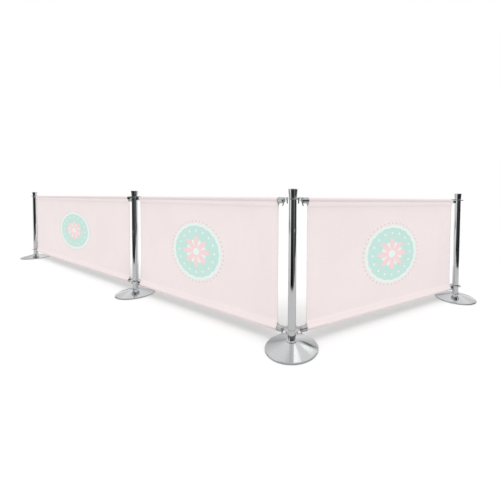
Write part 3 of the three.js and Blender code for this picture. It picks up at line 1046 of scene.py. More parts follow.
def trigger_slot():
    nose = CUP_NOSE - SLOT_PAST
    front = FINGER_FRONT - SLIDE_GAP
    back = FINGER_BACK + TRIGGER_TRAVEL + SLIDE_GAP
    below = -CUP_RADIUS - SLOT_PAST
    floor_height = CATCH_BOTTOM - SLIDE_GAP
    roof_height = CATCH_TOP + SLIDE_GAP
    corners = [
        (nose, floor_height),
        (front, floor_height),
        (front, below),
        (back, below),
        (back, roof_height),
        (nose, roof_height),
    ]
    outline = [Vector(corner) for corner in corners]
    return placed(plate("slot", [outline], CATCH_WIDTH + 2 * SLIDE_GAP, SLOT_EDGE), ON_EDGE)


print("the slot is", CATCH_WIDTH + 2 * SLIDE_GAP, "millimetres wide")

# %% [markdown]
# A Boolean melts cup, tongue and pin into one skin, as a casting has, and cuts the slot where there is a
# trigger. Twelve hooked ends are made this way, one at each end of each bar.

# %% Hooked ends
SPRUNG_END = {"middle": "right", "left": "right", "right": "left"}


def end_place(panel, level, end):
    """Where the pin's axis meets the bar's axis, with X towards the banner."""
    start = SPANS[panel] if end == "right" else 0
    turn = Matrix.Rotation(math.pi if end == "right" else 0, 4, "Z")
    return PANELS[panel] @ Matrix.Translation(Vector((start, 0, BAR_HEIGHTS[panel, level])) * MM) @ turn


def hook(panel, level, end):
    piece = placed(turned(f"{panel}_{level}_{end}_hook", cup_outline, BAR_SIDES), ON_X)
    boolean(piece, hook_tongue(), "UNION")
    boolean(piece, turned("pin", pin_outline, PIN_SIDES), "UNION")
    if end == SPRUNG_END[panel]:
        boolean(piece, trigger_slot(), "DIFFERENCE")
    place = end_place(panel, level, end)
    return on_panel(panel, piece, place, hook_chrome, "hook_chrome", f"{level}_hook_{end}")


hooks = [hook(panel, level, end) for panel, level in ALL_BARS for end in ENDS]
print("hooked ends:", len(hooks), "with", face_count(hooks[0]), "faces")

# %% [markdown]
# The trigger is bent from flat steel: a catch that snaps under the ring, and a finger that curls out below
# the cup so that a thumb can draw it back. Its side view is one outline, so it is a plate standing on edge.
# The finger follows a centre line that curls with the square of the way down and grows thinner towards the
# tip.

# %% Triggers
FINGER_TIP = -34.3
FINGER_CURL = 5.0
FINGER_STEPS = 8
FINGER_TAPER = 0.35
FINGER_ROOT = 2.0
TIP_RISE = 0.8
TIP_STEPS = 6
CATCH_LEAD = (1.6, 1.2)
CATCH_CHAMFER = 1.0
TRIGGER_EDGE = 0.8


def trigger_outline():
    """Side view, anticlockwise, with the finger's tip curled towards the banner."""
    middle = (FINGER_FRONT + FINGER_BACK) / 2
    half = (FINGER_BACK - FINGER_FRONT) / 2
    root = -CUP_RADIUS + FINGER_ROOT
    end = FINGER_TIP + half * TIP_RISE
    centre_line = []
    for k in range(FINGER_STEPS + 1):
        share = k / FINGER_STEPS
        across = middle + FINGER_CURL * share * share
        centre_line.append((across, root + (end - root) * share, half * (1 - FINGER_TAPER * share)))
    front = [(x - width, z) for x, z, width in centre_line]
    back = [(x + width, z) for x, z, width in reversed(centre_line)]
    *tip, tip_width = centre_line[-1]
    lead, rise = CATCH_LEAD
    catch = [
        (CATCH_TIP, CATCH_BOTTOM + rise),
        (CATCH_TIP + lead, CATCH_BOTTOM),
        (FINGER_FRONT, CATCH_BOTTOM),
    ]
    top = [
        (FINGER_BACK, CATCH_TOP),
        (CATCH_TIP + CATCH_CHAMFER, CATCH_TOP),
        (CATCH_TIP, CATCH_TOP - CATCH_CHAMFER),
    ]
    round_tip = arc_points(tip, tip_width, math.pi, FULL_TURN, TIP_STEPS)[1:-1]
    return [Vector(corner) for corner in (*catch, *front, *round_tip, *back, *top)]


def trigger(panel, level):
    piece = plate(f"{panel}_{level}_thumb_trigger", [trigger_outline()], CATCH_WIDTH, TRIGGER_EDGE)
    place = end_place(panel, level, SPRUNG_END[panel]) @ ON_EDGE
    name = f"{panel}_{level}_trigger"
    return finished(piece, place, trigger_steel, name, "trigger_steel", name)


triggers = [trigger(*bar) for bar in ALL_BARS]
print("triggers:", len(triggers), "with", face_count(triggers[0]), "faces each")

# %% [markdown]
# ## Pieces that repeat, by Geometry Nodes
# A tree of Geometry Nodes turns simple points into many small pieces. It has a geometry input and output and
# named sizes. It copies one shape to every point, and each point carries the direction that its copy faces.
# Realize Instances turns the copies into real mesh, and Set Material gives them their finish.

# %% Helpers for Geometry Nodes


def geometry_tree(name, size_names):
    tree = bpy.data.node_groups.new(name, "GeometryNodeTree")
    tree.interface.new_socket(name="Geometry", in_out="INPUT", socket_type="NodeSocketGeometry")
    for size_name in size_names:
        tree.interface.new_socket(name=size_name, in_out="INPUT", socket_type="NodeSocketFloat")
    tree.interface.new_socket(name="Geometry", in_out="OUTPUT", socket_type="NodeSocketGeometry")
    return tree, node(tree, "NodeGroupInput")


def facing_of(tree):
    return node(tree, "GeometryNodeInputNamedAttribute", {"Name": "facing"}, data_type="FLOAT_VECTOR")[0]


def copied_to_points(tree, points, shape, turn, material):
    """End the tree: copies of the shape on the points, as real and smooth mesh with a material."""
    inputs = {"Points": points, "Instance": shape, "Rotation": turn}
    copies = node(tree, "GeometryNodeInstanceOnPoints", inputs)[0]
    real = node(tree, "GeometryNodeRealizeInstances", {"Geometry": copies})[0]
    smooth = node(tree, "GeometryNodeSetShadeSmooth", {"Geometry": real})[0]
    made = node(tree, "GeometryNodeSetMaterial", {"Geometry": smooth, "Material": material})[0]
    feed(tree, tree.nodes.new("NodeGroupOutput").inputs, {"Geometry": made})


def grown(piece, tree, sizes):
    """Run the tree on the piece with the named sizes, and keep the result as plain mesh."""
    modifier = piece.modifiers.new(tree.name, "NODES")
    modifier.node_group = tree
    for item in tree.interface.items_tree:
        if item.in_out == "INPUT" and item.name in sizes:
            modifier[item.identifier] = sizes[item.name]
    return applied(piece)


def marked_points(name, places, edges=()):
    """Points with the direction that each one faces, joined by edges where there are any."""
    mesh = bpy.data.meshes.new(name)
    mesh.from_pydata([spot for spot, _ in places], edges, [])
    facing = mesh.attributes.new("facing", "FLOAT_VECTOR", "POINT")
    for item, (_, direction) in zip(facing.data, places):
        item.vector = direction
    return in_scene(name, mesh)


print("helpers for Geometry Nodes are ready")

# %% [markdown]
# Two small domed rivets hold each cup to its tube. A rivet is a ball that is flattened, and half of it sinks
# into the cup.

# %% Rivets on the cups
RIVET_X = 48.0
RIVET_ANGLES = (math.radians(-35), math.radians(215))
RIVET_RADIUS = 2.6 * MM
RIVET_HEIGHT = 1.1 * MM
RIVET_SEGMENTS = 16
RIVET_RINGS = 8


def rivet_tree():
    tree, given = geometry_tree("Rivets", ["Head radius", "Head height"])
    flat = vector_of(tree, X=given["Head radius"], Y=given["Head radius"], Z=given["Head height"])
    ball_sizes = {"Segments": RIVET_SEGMENTS, "Rings": RIVET_RINGS, "Radius": 1.0}
    ball = node(tree, "GeometryNodeMeshUVSphere", ball_sizes)[0]
    head = node(tree, "GeometryNodeTransform", {"Geometry": ball, "Scale": flat})[0]
    turn = node(tree, "FunctionNodeAlignRotationToVector", {"Vector": facing_of(tree)}, axis="Z")[0]
    copied_to_points(tree, given["Geometry"], head, turn, hook_chrome)
    return tree


rivets_grow = rivet_tree()


def cup_rivets(panel):
    places = []
    for level in LEVELS:
        for end in ENDS:
            place = end_place(panel, level, end)
            for angle in RIVET_ANGLES:
                out = Vector((0, math.cos(angle), math.sin(angle)))
                spot = Vector((RIVET_X, 0, 0)) + out * CUP_RADIUS
                places.append((place @ (spot * MM), place.to_3x3() @ out))
    piece = marked_points(f"{panel}_cup_rivets", places)
    grown(piece, rivets_grow, {"Head radius": RIVET_RADIUS, "Head height": RIVET_HEIGHT})
    return hand_over(piece, f"{panel}_panel", "hook_chrome")


rivets = [cup_rivets(panel) for panel in PANELS]
print("rivets:", sum(face_count(piece) for piece in rivets), "faces in", len(rivets), "pieces")

# %% [markdown]
# In the picture the chrome mirrors the studio, and hardly any of the small pieces round it. So these don't
# appear in mirrors here, although they are seen, lit and shadowed as usual. Only the rings away from the
# corner and the hooked ends at the far left post still show in the chrome beside them.

# %% Small pieces that the chrome doesn't mirror


def by_left_post(hooked_end):
    return hooked_end.name.startswith("left_") and hooked_end.name.endswith("_left_hook")


out_of_mirrors = bars + triggers + rivets
out_of_mirrors += [ring for ring in rings if ring.name.startswith("corner_")]
out_of_mirrors += [hooked_end for hooked_end in hooks if not by_left_post(hooked_end)]
for piece in out_of_mirrors:
    piece.visible_glossy = False
print("pieces out of the mirrors:", len(out_of_mirrors))

# %% [markdown]
# ## The banner cloth
# A banner is one length of printed canvas. At the top and at the bottom it turns over the crossbar and is
# sewn back to itself, which makes a pocket shaped like a drop. Its outline from the side is a line, so the
# cloth is built as a grid: steps along the line one way and steps across the width the other way. Solidify
# then gives it thickness.

# %% The line of the cloth, seen from the side
CLOTH_THICKNESS = 0.8
CLOTH_PLAY = 0.35
CLOTH_ON_BAR = BAR_RADIUS + CLOTH_PLAY + CLOTH_THICKNESS / 2
LAYER_AIR = 0.1
LAYER_GAP = CLOTH_THICKNESS + LAYER_AIR
POCKET_DEPTH = 36.0
SEAM_FLAP = 14.0
SIDE_GAP = 61.5
POCKET_STEPS = 26
WEB_STEPS = 60
FLAP_STEPS = 3


def web_ends(panel):
    """The heights of the lower and the upper seam, between which the cloth hangs free."""
    return BAR_HEIGHTS[panel, "bottom"] + POCKET_DEPTH, BAR_HEIGHTS[panel, "top"] - POCKET_DEPTH


def pocket_line(bar, side):
    """Points (across, up) round one bar from the back of the seam to its front. side is 1 at the top."""
    lean = math.acos(CLOTH_ON_BAR / POCKET_DEPTH)
    start = -math.pi / 2 + lean
    end = 3 * math.pi / 2 - lean
    loop = arc_points((0, 0), CLOTH_ON_BAR, start, end, POCKET_STEPS)
    return [Vector((p.x, bar + side * p.y)) for p in loop]


def cloth_line(panel):
    """(across, up) points from the top flap behind the web, over both bars, to the bottom flap."""
    lower, upper = web_ends(panel)
    flap = [SEAM_FLAP * k / FLAP_STEPS for k in range(FLAP_STEPS + 1)]
    line = [Vector((LAYER_GAP, upper - SEAM_FLAP + rise)) for rise in flap]
    line += pocket_line(BAR_HEIGHTS[panel, "top"], 1)
    line += [Vector((0, upper - (upper - lower) * k / WEB_STEPS)) for k in range(WEB_STEPS + 1)]
    line += pocket_line(BAR_HEIGHTS[panel, "bottom"], -1)[::-1]
    line += [Vector((LAYER_GAP, lower + rise)) for rise in flap]
    return line


def line_length(line):
    return sum((b - a).length for a, b in zip(line, line[1:])) * MM


print("cloth from end to end, in metres:", round(line_length(cloth_line("middle")), 4))

# %% [markdown]
# Stretched cloth is never quite flat. It is drawn in a little between the bars, and soft upright waves run
# down from the pockets, strongest near the sides. One formula gives that small shift for every point, and
# the stitches use it too, so that they stay on the cloth.

# %% Small waves in the cloth
SAG_DEPTH = 2.0
WAVE_DEPTH = 1.5
WAVE_LENGTHS = (310.0, 133.0, 71.0)
WAVE_PHASES = {"middle": 0.4, "left": 1.9, "right": 3.1}
SIDE_REACH = 170.0
WAVE_SHARE_INSIDE = 0.35


def banner_width(panel):
    return SPANS[panel] - 2 * SIDE_GAP


def wave(panel, x, z):
    """How far the web stands forward or back, in millimetres, at x across and z up."""
    width = banner_width(panel)
    bottom, top = web_ends(panel)
    up = min(1.0, max(0.0, (z - bottom) / (top - bottom)))
    free = math.sin(math.pi * up)
    near_side = math.exp(-min(x, width - x) / SIDE_REACH)
    phase = WAVE_PHASES[panel]
    ripple = 0.0
    for n, length in enumerate(WAVE_LENGTHS, 1):
        ripple += math.sin(FULL_TURN * x / length + phase * n) / n
    sag = SAG_DEPTH * math.sin(math.pi * x / width)
    return free * (sag + WAVE_DEPTH * ripple * (WAVE_SHARE_INSIDE + near_side))


print("shift in the middle of the web, in millimetres:", round(wave("middle", 750, 500), 2))

# %% [markdown]
# The cloth needs two UV maps. One is in metres from the middle of the banner, so that the weave follows the
# cloth round the pockets. The other, for the print, is squeezed across, because the artwork is drawn wide:
# it is widest on the long banner.

# %% A grid of cloth with its UV maps
PRINT_HEIGHT = 392.0
PRINT_WIDTHS = {"middle": 492.0, "left": 738.0, "right": 500.0}
PRINT_DROP = 7.0


def cloth_grid(bm, uv_maps, panel, line, xs):
    """A grid of cloth along the line and across the given x places."""
    weave_map, print_map = uv_maps
    middle_x = banner_width(panel) / 2
    stretch = PRINT_HEIGHT / PRINT_WIDTHS[panel]
    lengths = [0.0]
    for a, b in zip(line, line[1:]):
        lengths.append(lengths[-1] + (b - a).length)
    web_middle = (BAR_HEIGHTS[panel, "top"] + BAR_HEIGHTS[panel, "bottom"]) / 2
    centre = min(range(len(line)), key=lambda i: (line[i].x != 0, abs(line[i].y - web_middle)))
    rows = []
    for point in line:
        rows.append([
            bm.verts.new(((SIDE_GAP + x) * MM, (point.x + wave(panel, x, point.y)) * MM, point.y * MM))
            for x in xs
        ])
    for i in range(len(line) - 1):
        for k in range(len(xs) - 1):
            face = bm.faces.new([rows[i][k], rows[i + 1][k], rows[i + 1][k + 1], rows[i][k + 1]])
            places = ((k, i), (k, i + 1), (k + 1, i + 1), (k + 1, i))
            for loop, (column, row) in zip(face.loops, places):
                across = (xs[column] - middle_x) * MM
                up = (lengths[centre] - lengths[row] + line[centre].y - web_middle) * MM
                loop[weave_map].uv = (across, up)
                loop[print_map].uv = (across * stretch, up + PRINT_DROP * MM)


print("the print is", PRINT_HEIGHT, "millimetres high on every banner")

# %% [markdown]
# The side edges are hemmed: a narrow strip is folded to the back and sewn down. The strip is part of the
# same mesh, one layer behind the web.

# %% Banner cloth
HEM_WIDTH = 18.0
HEM_STEPS = 3
COLUMN_PITCH = 12.0


def banner(panel):
    bm = bmesh.new()
    uv_maps = [bm.loops.layers.uv.new(name) for name in ("UVMap", "Print")]
    width = banner_width(panel)
    columns = round(width / COLUMN_PITCH)
    cloth_grid(bm, uv_maps, panel, cloth_line(panel), [width * k / columns for k in range(columns + 1)])
    lower, upper = web_ends(panel)
    top = upper - SEAM_FLAP
    bottom = lower + SEAM_FLAP
    web = [Vector((LAYER_GAP, top + (bottom - top) * k / WEB_STEPS)) for k in range(WEB_STEPS + 1)]
    hem = [HEM_WIDTH * k / HEM_STEPS for k in range(HEM_STEPS + 1)]
    for side in (hem, [width - x for x in reversed(hem)]):
        cloth_grid(bm, uv_maps, panel, web, side)
    piece = placed(mesh_object(f"{panel}_banner_cloth", bm), PANELS[panel])
    piece.data.shade_smooth()
    modifier = piece.modifiers.new("cloth thickness", "SOLIDIFY")
    modifier.thickness = CLOTH_THICKNESS * MM
    modifier.offset = 0.0
    return applied(piece)


banners = {panel: banner(panel) for panel in PANELS}
print("banners:", {panel: face_count(piece) for panel, piece in banners.items()})

# %% [markdown]
# ## Canvas
# The cloth is a matt plain weave. A plain weave is two sets of threads that pass over and under each other,
# so its height is a product of two sine waves of the UV map. The group gives the height for the bump and a
# tone that darkens the gaps between the threads.

# %% Plain weave
SLUB_SHAPE = (20.0, 400.0, 1.0)
SLUB_DETAIL = 2.0
WEAVE_RANGE = (-0.2, 1.2)

weave, given, result = shader_group("Plain weave", {"Place": None, "Threads": 1100.0}, ["Height", "Tone"])
ways = parts_of(weave, given["Place"])
threads = [maths(weave, "SINE", maths(weave, "MULTIPLY", ways[k], given["Threads"])) for k in (0, 1)]
over_under = maths(weave, "MULTIPLY", *threads)
slubs = noise(weave, vector_maths(weave, "MULTIPLY", given["Place"], SLUB_SHAPE), 1.0, SLUB_DETAIL)
weave_height = maths(weave, "MULTIPLY_ADD", over_under, 0.5, slubs)
feed(weave, result, {"Height": weave_height, "Tone": ramped(weave, weave_height, *WEAVE_RANGE)})
print("plain weave:", len(weave.nodes), "nodes")

# %% [markdown]
# ## The printed ornament
# A round ornament is printed in the middle of each banner: a scalloped mint medallion, a ring of beads, and
# a rosette of pink petals. It is plain geometry, so it is drawn with sums on the UV map. The distance from
# the middle and the angle round it give every shape: a petal or a scallop is a radius that goes up and down
# with the angle.

# %% Shapes of the ornament
PRINT_EDGE = 0.0012

ornament, given, result = shader_group("Round ornament", {"Place": None}, ["Color", "Mask"])
spot_x, spot_y, _ = parts_of(ornament, given["Place"])
radius_now = measured(ornament, "LENGTH", vector_of(ornament, X=spot_x, Y=spot_y))
angle_now = maths(ornament, "ARCTAN2", spot_y, spot_x)


def below(limit, value):
    """1 where the value is below the limit, with a soft printed edge."""
    return ramped(ornament, maths(ornament, "SUBTRACT", limit, value), -PRINT_EDGE, PRINT_EDGE)


def inside(limit):
    return below(limit, radius_now)


def waved(count, low, high, shift=0.0):
    """A radius that goes up and down the given number of times round the ornament."""
    turning = maths(ornament, "MULTIPLY_ADD", angle_now, count / 2, shift)
    swing = maths(ornament, "ABSOLUTE", maths(ornament, "COSINE", turning))
    return maths(ornament, "MULTIPLY_ADD", swing, high - low, low)


def bead_row(count, circle_radius, size):
    """Round beads on a circle. The angle is folded into one bead's share, from its middle outwards."""
    folded = maths(ornament, "PINGPONG", angle_now, FULL_TURN / count / 2)
    sideways = maths(ornament, "MULTIPLY", folded, circle_radius)
    outwards = maths(ornament, "SUBTRACT", radius_now, circle_radius)
    return below(size, measured(ornament, "LENGTH", vector_of(ornament, X=sideways, Y=outwards)))


print("the ornament's edge is", PRINT_EDGE, "metres soft")

# %% [markdown]
# The shapes are printed one over the other, as inks are: first the pale rim, then the mint field, the
# petals, the heart and the beads. The mask says where there is any ink, so that the cloth shows everywhere
# else.

# %% Round ornament
MEDALLION = 0.196
RIM_WIDTH = 0.020
SCALLOPS = 20.0
SCALLOP_DEPTH = 0.006
PETALS = 8.0
PETAL_SPAN = (0.030, 0.118)
SHORT_PETAL_SPAN = (0.010, 0.092)
HEART = 0.028
OUTER_BEADS = {"count": 44, "circle_radius": 0.229, "size": 0.0042}
INNER_BEADS = {"count": 16, "circle_radius": 0.156, "size": 0.0085}
MINT = (0.560, 0.800, 0.735, 1)
PALE = (0.820, 0.915, 0.885, 1)
PINK = (0.945, 0.680, 0.690, 1)
DEEP_MINT = (0.430, 0.560, 0.510, 1)


def scalloped(radius):
    return inside(waved(SCALLOPS, radius - SCALLOP_DEPTH, radius))


rim = scalloped(MEDALLION + RIM_WIDTH)
painted = blended(ornament, rim, DEEP_MINT, PALE)
for mask, color in (
    (scalloped(MEDALLION), MINT),
    (inside(waved(PETALS, *SHORT_PETAL_SPAN, math.pi / 2)), PALE),
    (inside(waved(PETALS, *PETAL_SPAN)), PINK),
    (inside(HEART), PALE),
    (bead_row(**INNER_BEADS), PALE),
):
    painted = blended(ornament, mask, painted, color)
feed(ornament, result, {"Color": painted, "Mask": maths(ornament, "MAXIMUM", rim, bead_row(**OUTER_BEADS))})
print("round ornament:", len(ornament.nodes), "nodes")

# %% [markdown]
# Bare canvas is never one even pink: washing leaves a faint cloudiness. Shade is painted into the pink too:
# a shade darker over the top bar and on the bottom pocket below its seam. Light is painted in a lighter band
# between the top seam and the top bar. Both follow V of the UV map, which runs from the middle of the web
# over the bars. The ornament is laid over it, and the gaps between the threads darken both.

# %% Canvas finish
CLOTH_PINK = (0.905, 0.815, 0.807, 1)
# The darker pink is painted shade and also the tone of the washing clouds; the lighter pink is painted
# light.
CLOTH_SHADE_AND_CLOUD = (0.690, 0.590, 0.602, 1)
CLOTH_PAINTED_LIGHT = (0.955, 0.870, 0.860, 1)
WEB_HALF = ((BAR_HEIGHTS["middle", "top"] - BAR_HEIGHTS["middle", "bottom"]) / 2 - POCKET_DEPTH) * MM
# Along V: painted shade over the top bar and below the bottom seam, painted light between top seam and bar.
PAINTED_SHADE_OVER_BAR = (WEB_HALF + 0.026, WEB_HALF + 0.040, 0.0, 0.75)
PAINTED_SHADE_UNDER_BAR = (-WEB_HALF, -WEB_HALF - 0.012, 0.0, 0.25)
PAINTED_LIGHT_ABOVE_SEAM = (WEB_HALF + 0.002, WEB_HALF + 0.008)
PAINTED_LIGHT_BELOW_BAR = (WEB_HALF + 0.032, WEB_HALF + 0.026)
CLOUD_SCALE = 2.2
CLOUDINESS = (0.3, 0.7, 0.0, 0.10)
INK_COVER = 0.96
THREAD_SHADE = (0.0, 1.0, 0.93, 1.0)
CANVAS_ROUGHNESS = 0.84


def cloth_color(tree, uv):
    """The pink of the bare cloth, with painted shade and painted light along the line that it follows."""
    up = parts_of(tree, uv)[1]
    # Painted shade: darker over the top bar and on the bottom pocket below its seam.
    painted_shade = maths(tree, "MAXIMUM", ramped(tree, up, *PAINTED_SHADE_OVER_BAR), ramped(tree, up, *PAINTED_SHADE_UNDER_BAR))
    ground = blended(tree, painted_shade, CLOTH_PINK, CLOTH_SHADE_AND_CLOUD)
    # Painted light: a lighter band between the top seam and the top bar.
    painted_light = maths(tree, "MULTIPLY", ramped(tree, up, *PAINTED_LIGHT_ABOVE_SEAM), ramped(tree, up, *PAINTED_LIGHT_BELOW_BAR))
    ground = blended(tree, painted_light, ground, CLOTH_PAINTED_LIGHT)
    clouds = ramped(tree, noise(tree, uv, CLOUD_SCALE, CLOUD_DETAIL), *CLOUDINESS)
    return blended(tree, clouds, ground, CLOTH_SHADE_AND_CLOUD)


def canvas_finish():
    material, tree, shader, place = new_material("printed_canvas")
    uv = node(tree, "ShaderNodeTexCoord")["UV"]
    threads = use(tree, weave, Place=uv)
    printed = use(tree, ornament, Place=node(tree, "ShaderNodeUVMap", uv_map="Print")[0])
    marks = use(tree, smears, Place=place, Size=3.0, Amount=0.05)
    ink = maths(tree, "MULTIPLY", printed["Mask"], INK_COVER)
    inked = blended(tree, ink, cloth_color(tree, uv), printed["Color"])
    feed(tree, shader.inputs, {
        "Base Color": scaled(tree, inked, ramped(tree, threads["Tone"], *THREAD_SHADE)),
        "Roughness": maths(tree, "ADD", marks["Roughness"], CANVAS_ROUGHNESS),
        "Sheen Weight": 0.08,
        "Specular IOR Level": 0.25,
        "Normal": bump(tree, threads["Height"], 0.10, 0.0003),
    })
    return material


canvas = canvas_finish()
for piece in banners.values():
    piece.data.materials.append(canvas)
print("canvas is ready, and the web is", round(2 * WEB_HALF, 3), "metres high")

# %% [markdown]
# ## Stitches by Geometry Nodes
# Hundreds of stitches follow the seams. Each seam is a line of points on the cloth. The tree turns the line
# into a curve, steps along it by the stitch pitch, and sets a short bowed thread at each step, turned along
# the seam and away from the cloth. Each thread has only a few faces, because there are so many.

# %% Sewing thread
THREAD_PINK = (0.80, 0.70, 0.70, 1)
THREAD_DARK = (0.62, 0.52, 0.53, 1)
TWIST_SCALE = 2600.0
THREAD_ROUGHNESS = 0.6


def thread_finish():
    material, tree, shader, place = new_material("sewing_thread")
    twist = noise(tree, place, TWIST_SCALE, 2.0)
    feed(tree, shader.inputs, {
        "Base Color": blended(tree, twist, THREAD_PINK, THREAD_DARK),
        "Roughness": maths(tree, "MULTIPLY_ADD", twist, 0.2, THREAD_ROUGHNESS),
        "Normal": bump(tree, twist, 0.3, 0.0002),
    })
    return material


thread = thread_finish()
print("thread is ready:", thread.name)

# %% [markdown]
# One stitch is a bowed curve with a small round section. Its ends dip into the cloth and its middle rises,
# as a thread does that is drawn down at both needle holes.

# %% Stitch tree
BOW_STEPS = 4
THREAD_SIDES = 5


def one_stitch(tree, given):
    """A bowed thread along X, from one needle hole to the next."""
    half = maths(tree, "MULTIPLY", given["Length"], 0.5)
    dip = maths(tree, "MULTIPLY", given["Rise"], -1.0)
    bow = node(tree, "GeometryNodeCurveQuadraticBezier", {
        "Resolution": BOW_STEPS,
        "Start": vector_of(tree, X=maths(tree, "MULTIPLY", half, -1.0), Z=dip),
        "Middle": vector_of(tree, Z=maths(tree, "MULTIPLY", given["Rise"], 2.0)),
        "End": vector_of(tree, X=half, Z=dip),
    })[0]
    section_sizes = {"Resolution": THREAD_SIDES, "Radius": given["Thread"]}
    section = node(tree, "GeometryNodeCurvePrimitiveCircle", section_sizes)[0]
    thread_inputs = {"Curve": bow, "Profile Curve": section, "Fill Caps": True}
    return node(tree, "GeometryNodeCurveToMesh", thread_inputs)[0]


def stitch_tree():
    tree, given = geometry_tree("Stitches", ["Pitch", "Length", "Thread", "Rise"])
    seam = node(tree, "GeometryNodeMeshToCurve", {"Mesh": given["Geometry"]})[0]
    stepped = {"Curve": seam, "Length": given["Pitch"]}
    steps = node(tree, "GeometryNodeResampleCurve", stepped, mode="LENGTH")[0]
    tangent = node(tree, "GeometryNodeInputTangent")[0]
    along = node(tree, "FunctionNodeAlignRotationToVector", {"Vector": tangent}, axis="X")[0]
    turn = node(
        tree, "FunctionNodeAlignRotationToVector", {"Rotation": along, "Vector": facing_of(tree)},
        axis="Z", pivot_axis="X",
    )[0]
    copied_to_points(tree, steps, one_stitch(tree, given), turn, thread)
    return tree


stitches_grow = stitch_tree()
print("stitch tree:", len(stitches_grow.nodes), "nodes")

# %% [markdown]
# Four seams run on each banner, seen from the front and from the back: one under each pocket, and one down
# each side hem. A seam's points come from the same formula as the waves of the cloth.

# %% Seams of each banner
STITCH_SIZES = {"Pitch": 4.0 * MM, "Length": 3.0 * MM, "Thread": 0.24 * MM, "Rise": 0.12 * MM}
SEAM_STEP = 12.0
SEAM_START = 2.0
HEM_SEAM = 4.0
FRONT = -1
BACK = 1


def seam_points(panel, start, end, side):
    """Points on the cloth's face from start to end, both (x, z), with the way that the face looks."""
    (x0, z0), (x1, z1) = start, end
    steps = max(2, round(math.hypot(x1 - x0, z1 - z0) / SEAM_STEP))
    face = -CLOTH_THICKNESS / 2 if side == FRONT else LAYER_GAP + CLOTH_THICKNESS / 2
    place = PANELS[panel]
    out = place.to_3x3() @ Vector((0, side, 0))
    points = []
    for k in range(steps + 1):
        x = x0 + (x1 - x0) * k / steps
        z = z0 + (z1 - z0) * k / steps
        spot = Vector((SIDE_GAP + x, face + wave(panel, x, z), z))
        points.append((place @ (spot * MM), out))
    return points


def banner_stitches(panel):
    width = banner_width(panel)
    web_low, web_high = web_ends(panel)
    upper = web_high - SEAM_FLAP / 2
    lower = web_low + SEAM_FLAP / 2
    edge = HEM_WIDTH - HEM_SEAM
    runs = [((SEAM_START, z), (width - SEAM_START, z)) for z in (upper, lower)]
    runs += [((x, lower + SEAM_FLAP), (x, upper - SEAM_FLAP)) for x in (edge, width - edge)]
    places = []
    edges = []
    for start, end in runs:
        for side in (FRONT, BACK):
            first = len(places)
            places += seam_points(panel, start, end, side)
            edges += [(k, k + 1) for k in range(first, len(places) - 1)]
    return grown(marked_points(f"{panel}_banner_stitches", places, edges), stitches_grow, STITCH_SIZES)


stitches = {panel: banner_stitches(panel) for panel in PANELS}
print("stitches:", {panel: face_count(piece) for panel, piece in stitches.items()})

# %% [markdown]
# A banner was cut to its width with both hems and to the length of its whole line with pockets and flaps,
# and that length is worked out here. The chrome in the picture mirrors the studio alone, so the cloth is
# hidden from mirrored rays.

# %% Hand the banners over
for panel, piece in banners.items():
    hand_over(piece, f"{panel}_panel", "banner_cloth", f"{panel}_banner")
    hand_over(stitches[panel], f"{panel}_panel", "banner_cloth")
    piece.visible_glossy = False
    stitches[panel].visible_glossy = False
    cut_length = line_length(cloth_line(panel))

# %% [markdown]
# ## The studio
# The row stands on a white floor. Close to the row the floor is a real surface, so that it takes soft
# shadows. Further out it fades away, and the white of the world takes over. So the finish has to know how
# far a place is from the row, which is two straight lines.

# %% Distance from the row
ROW = (
    (POSTS["left"].translation, PANEL_PINS["middle"][1]),
    (PANEL_PINS["right"][0], POSTS["right"].translation),
)


def distance_to_line(tree, place, start, end):
    """How far a place is from a straight line between two points."""
    along = end - start
    offset = vector_maths(tree, "SUBTRACT", place, start)
    share = maths(tree, "DIVIDE", measured(tree, "DOT_PRODUCT", offset, along), along.length_squared)
    nearest = scaled(tree, along, clamped(tree, share))
    return measured(tree, "LENGTH", vector_maths(tree, "SUBTRACT", offset, nearest))


def mirrored_rays(tree):
    """1 for a ray that comes off a mirror or through glass, with the other ray facts."""
    path = node(tree, "ShaderNodeLightPath")
    return maths(tree, "MAXIMUM", path["Is Glossy Ray"], path["Is Transmission Ray"]), path


for start, end in ROW:
    print("the row runs straight for", round((end - start).length, 3), "metres")

# %% [markdown]
# Chrome shows the floor too, and there it decides how high the pale foot of each stripe reaches. Mirrored
# rays see a darker floor that ends nearer to the row. It reaches further out with the distance from the
# corner, and furthest at the last post, where the picture shows a long pale foot. A floor that is mirrored
# twice is darker still, which draws the dark ring where a tube meets its base.

# %% Floor
FLOOR_HALF = 9.0
FLOOR_CELLS = 24
FLOOR_WHITE = (0.82, 0.82, 0.82, 1)
FLOOR_CREAM = (0.81, 0.81, 0.805, 1)
FLOOR_IN_METAL = (0.45, 0.45, 0.45, 1)
FLOOR_MIRRORED_TWICE = (0.10, 0.10, 0.10, 1)
CREAM_SCALE = 3.0
FLOOR_GLOW = 0.03
SEEN_FADE = (1.3, 2.2)
MIRRORED_FADE = (0.90, 1.02)
FADE_GROWTH = 0.24
GROWTH_START = 0.8
FAR_POST = (4.6, 5.6)
FAR_POST_FLOOR = 3.0
ONE_MIRROR = 1.5


def floor_fade(tree, place, mirrored):
    """0 where the floor is there and 1 where it has faded away, which mirrors see nearer to the row."""
    away = maths(tree, "MINIMUM", *(distance_to_line(tree, place, start, end) for start, end in ROW))
    from_corner = measured(tree, "LENGTH", place)
    growth = maths(tree, "MULTIPLY_ADD", from_corner, FADE_GROWTH, -GROWTH_START * FADE_GROWTH)
    at_far_post = ramped(tree, from_corner, *FAR_POST, 0.0, FAR_POST_FLOOR)
    allowance = maths(tree, "ADD", growth, at_far_post)
    in_metal = ramped(tree, maths(tree, "SUBTRACT", away, allowance), *MIRRORED_FADE)
    return mixed(tree, mirrored, ramped(tree, away, *SEEN_FADE), in_metal)


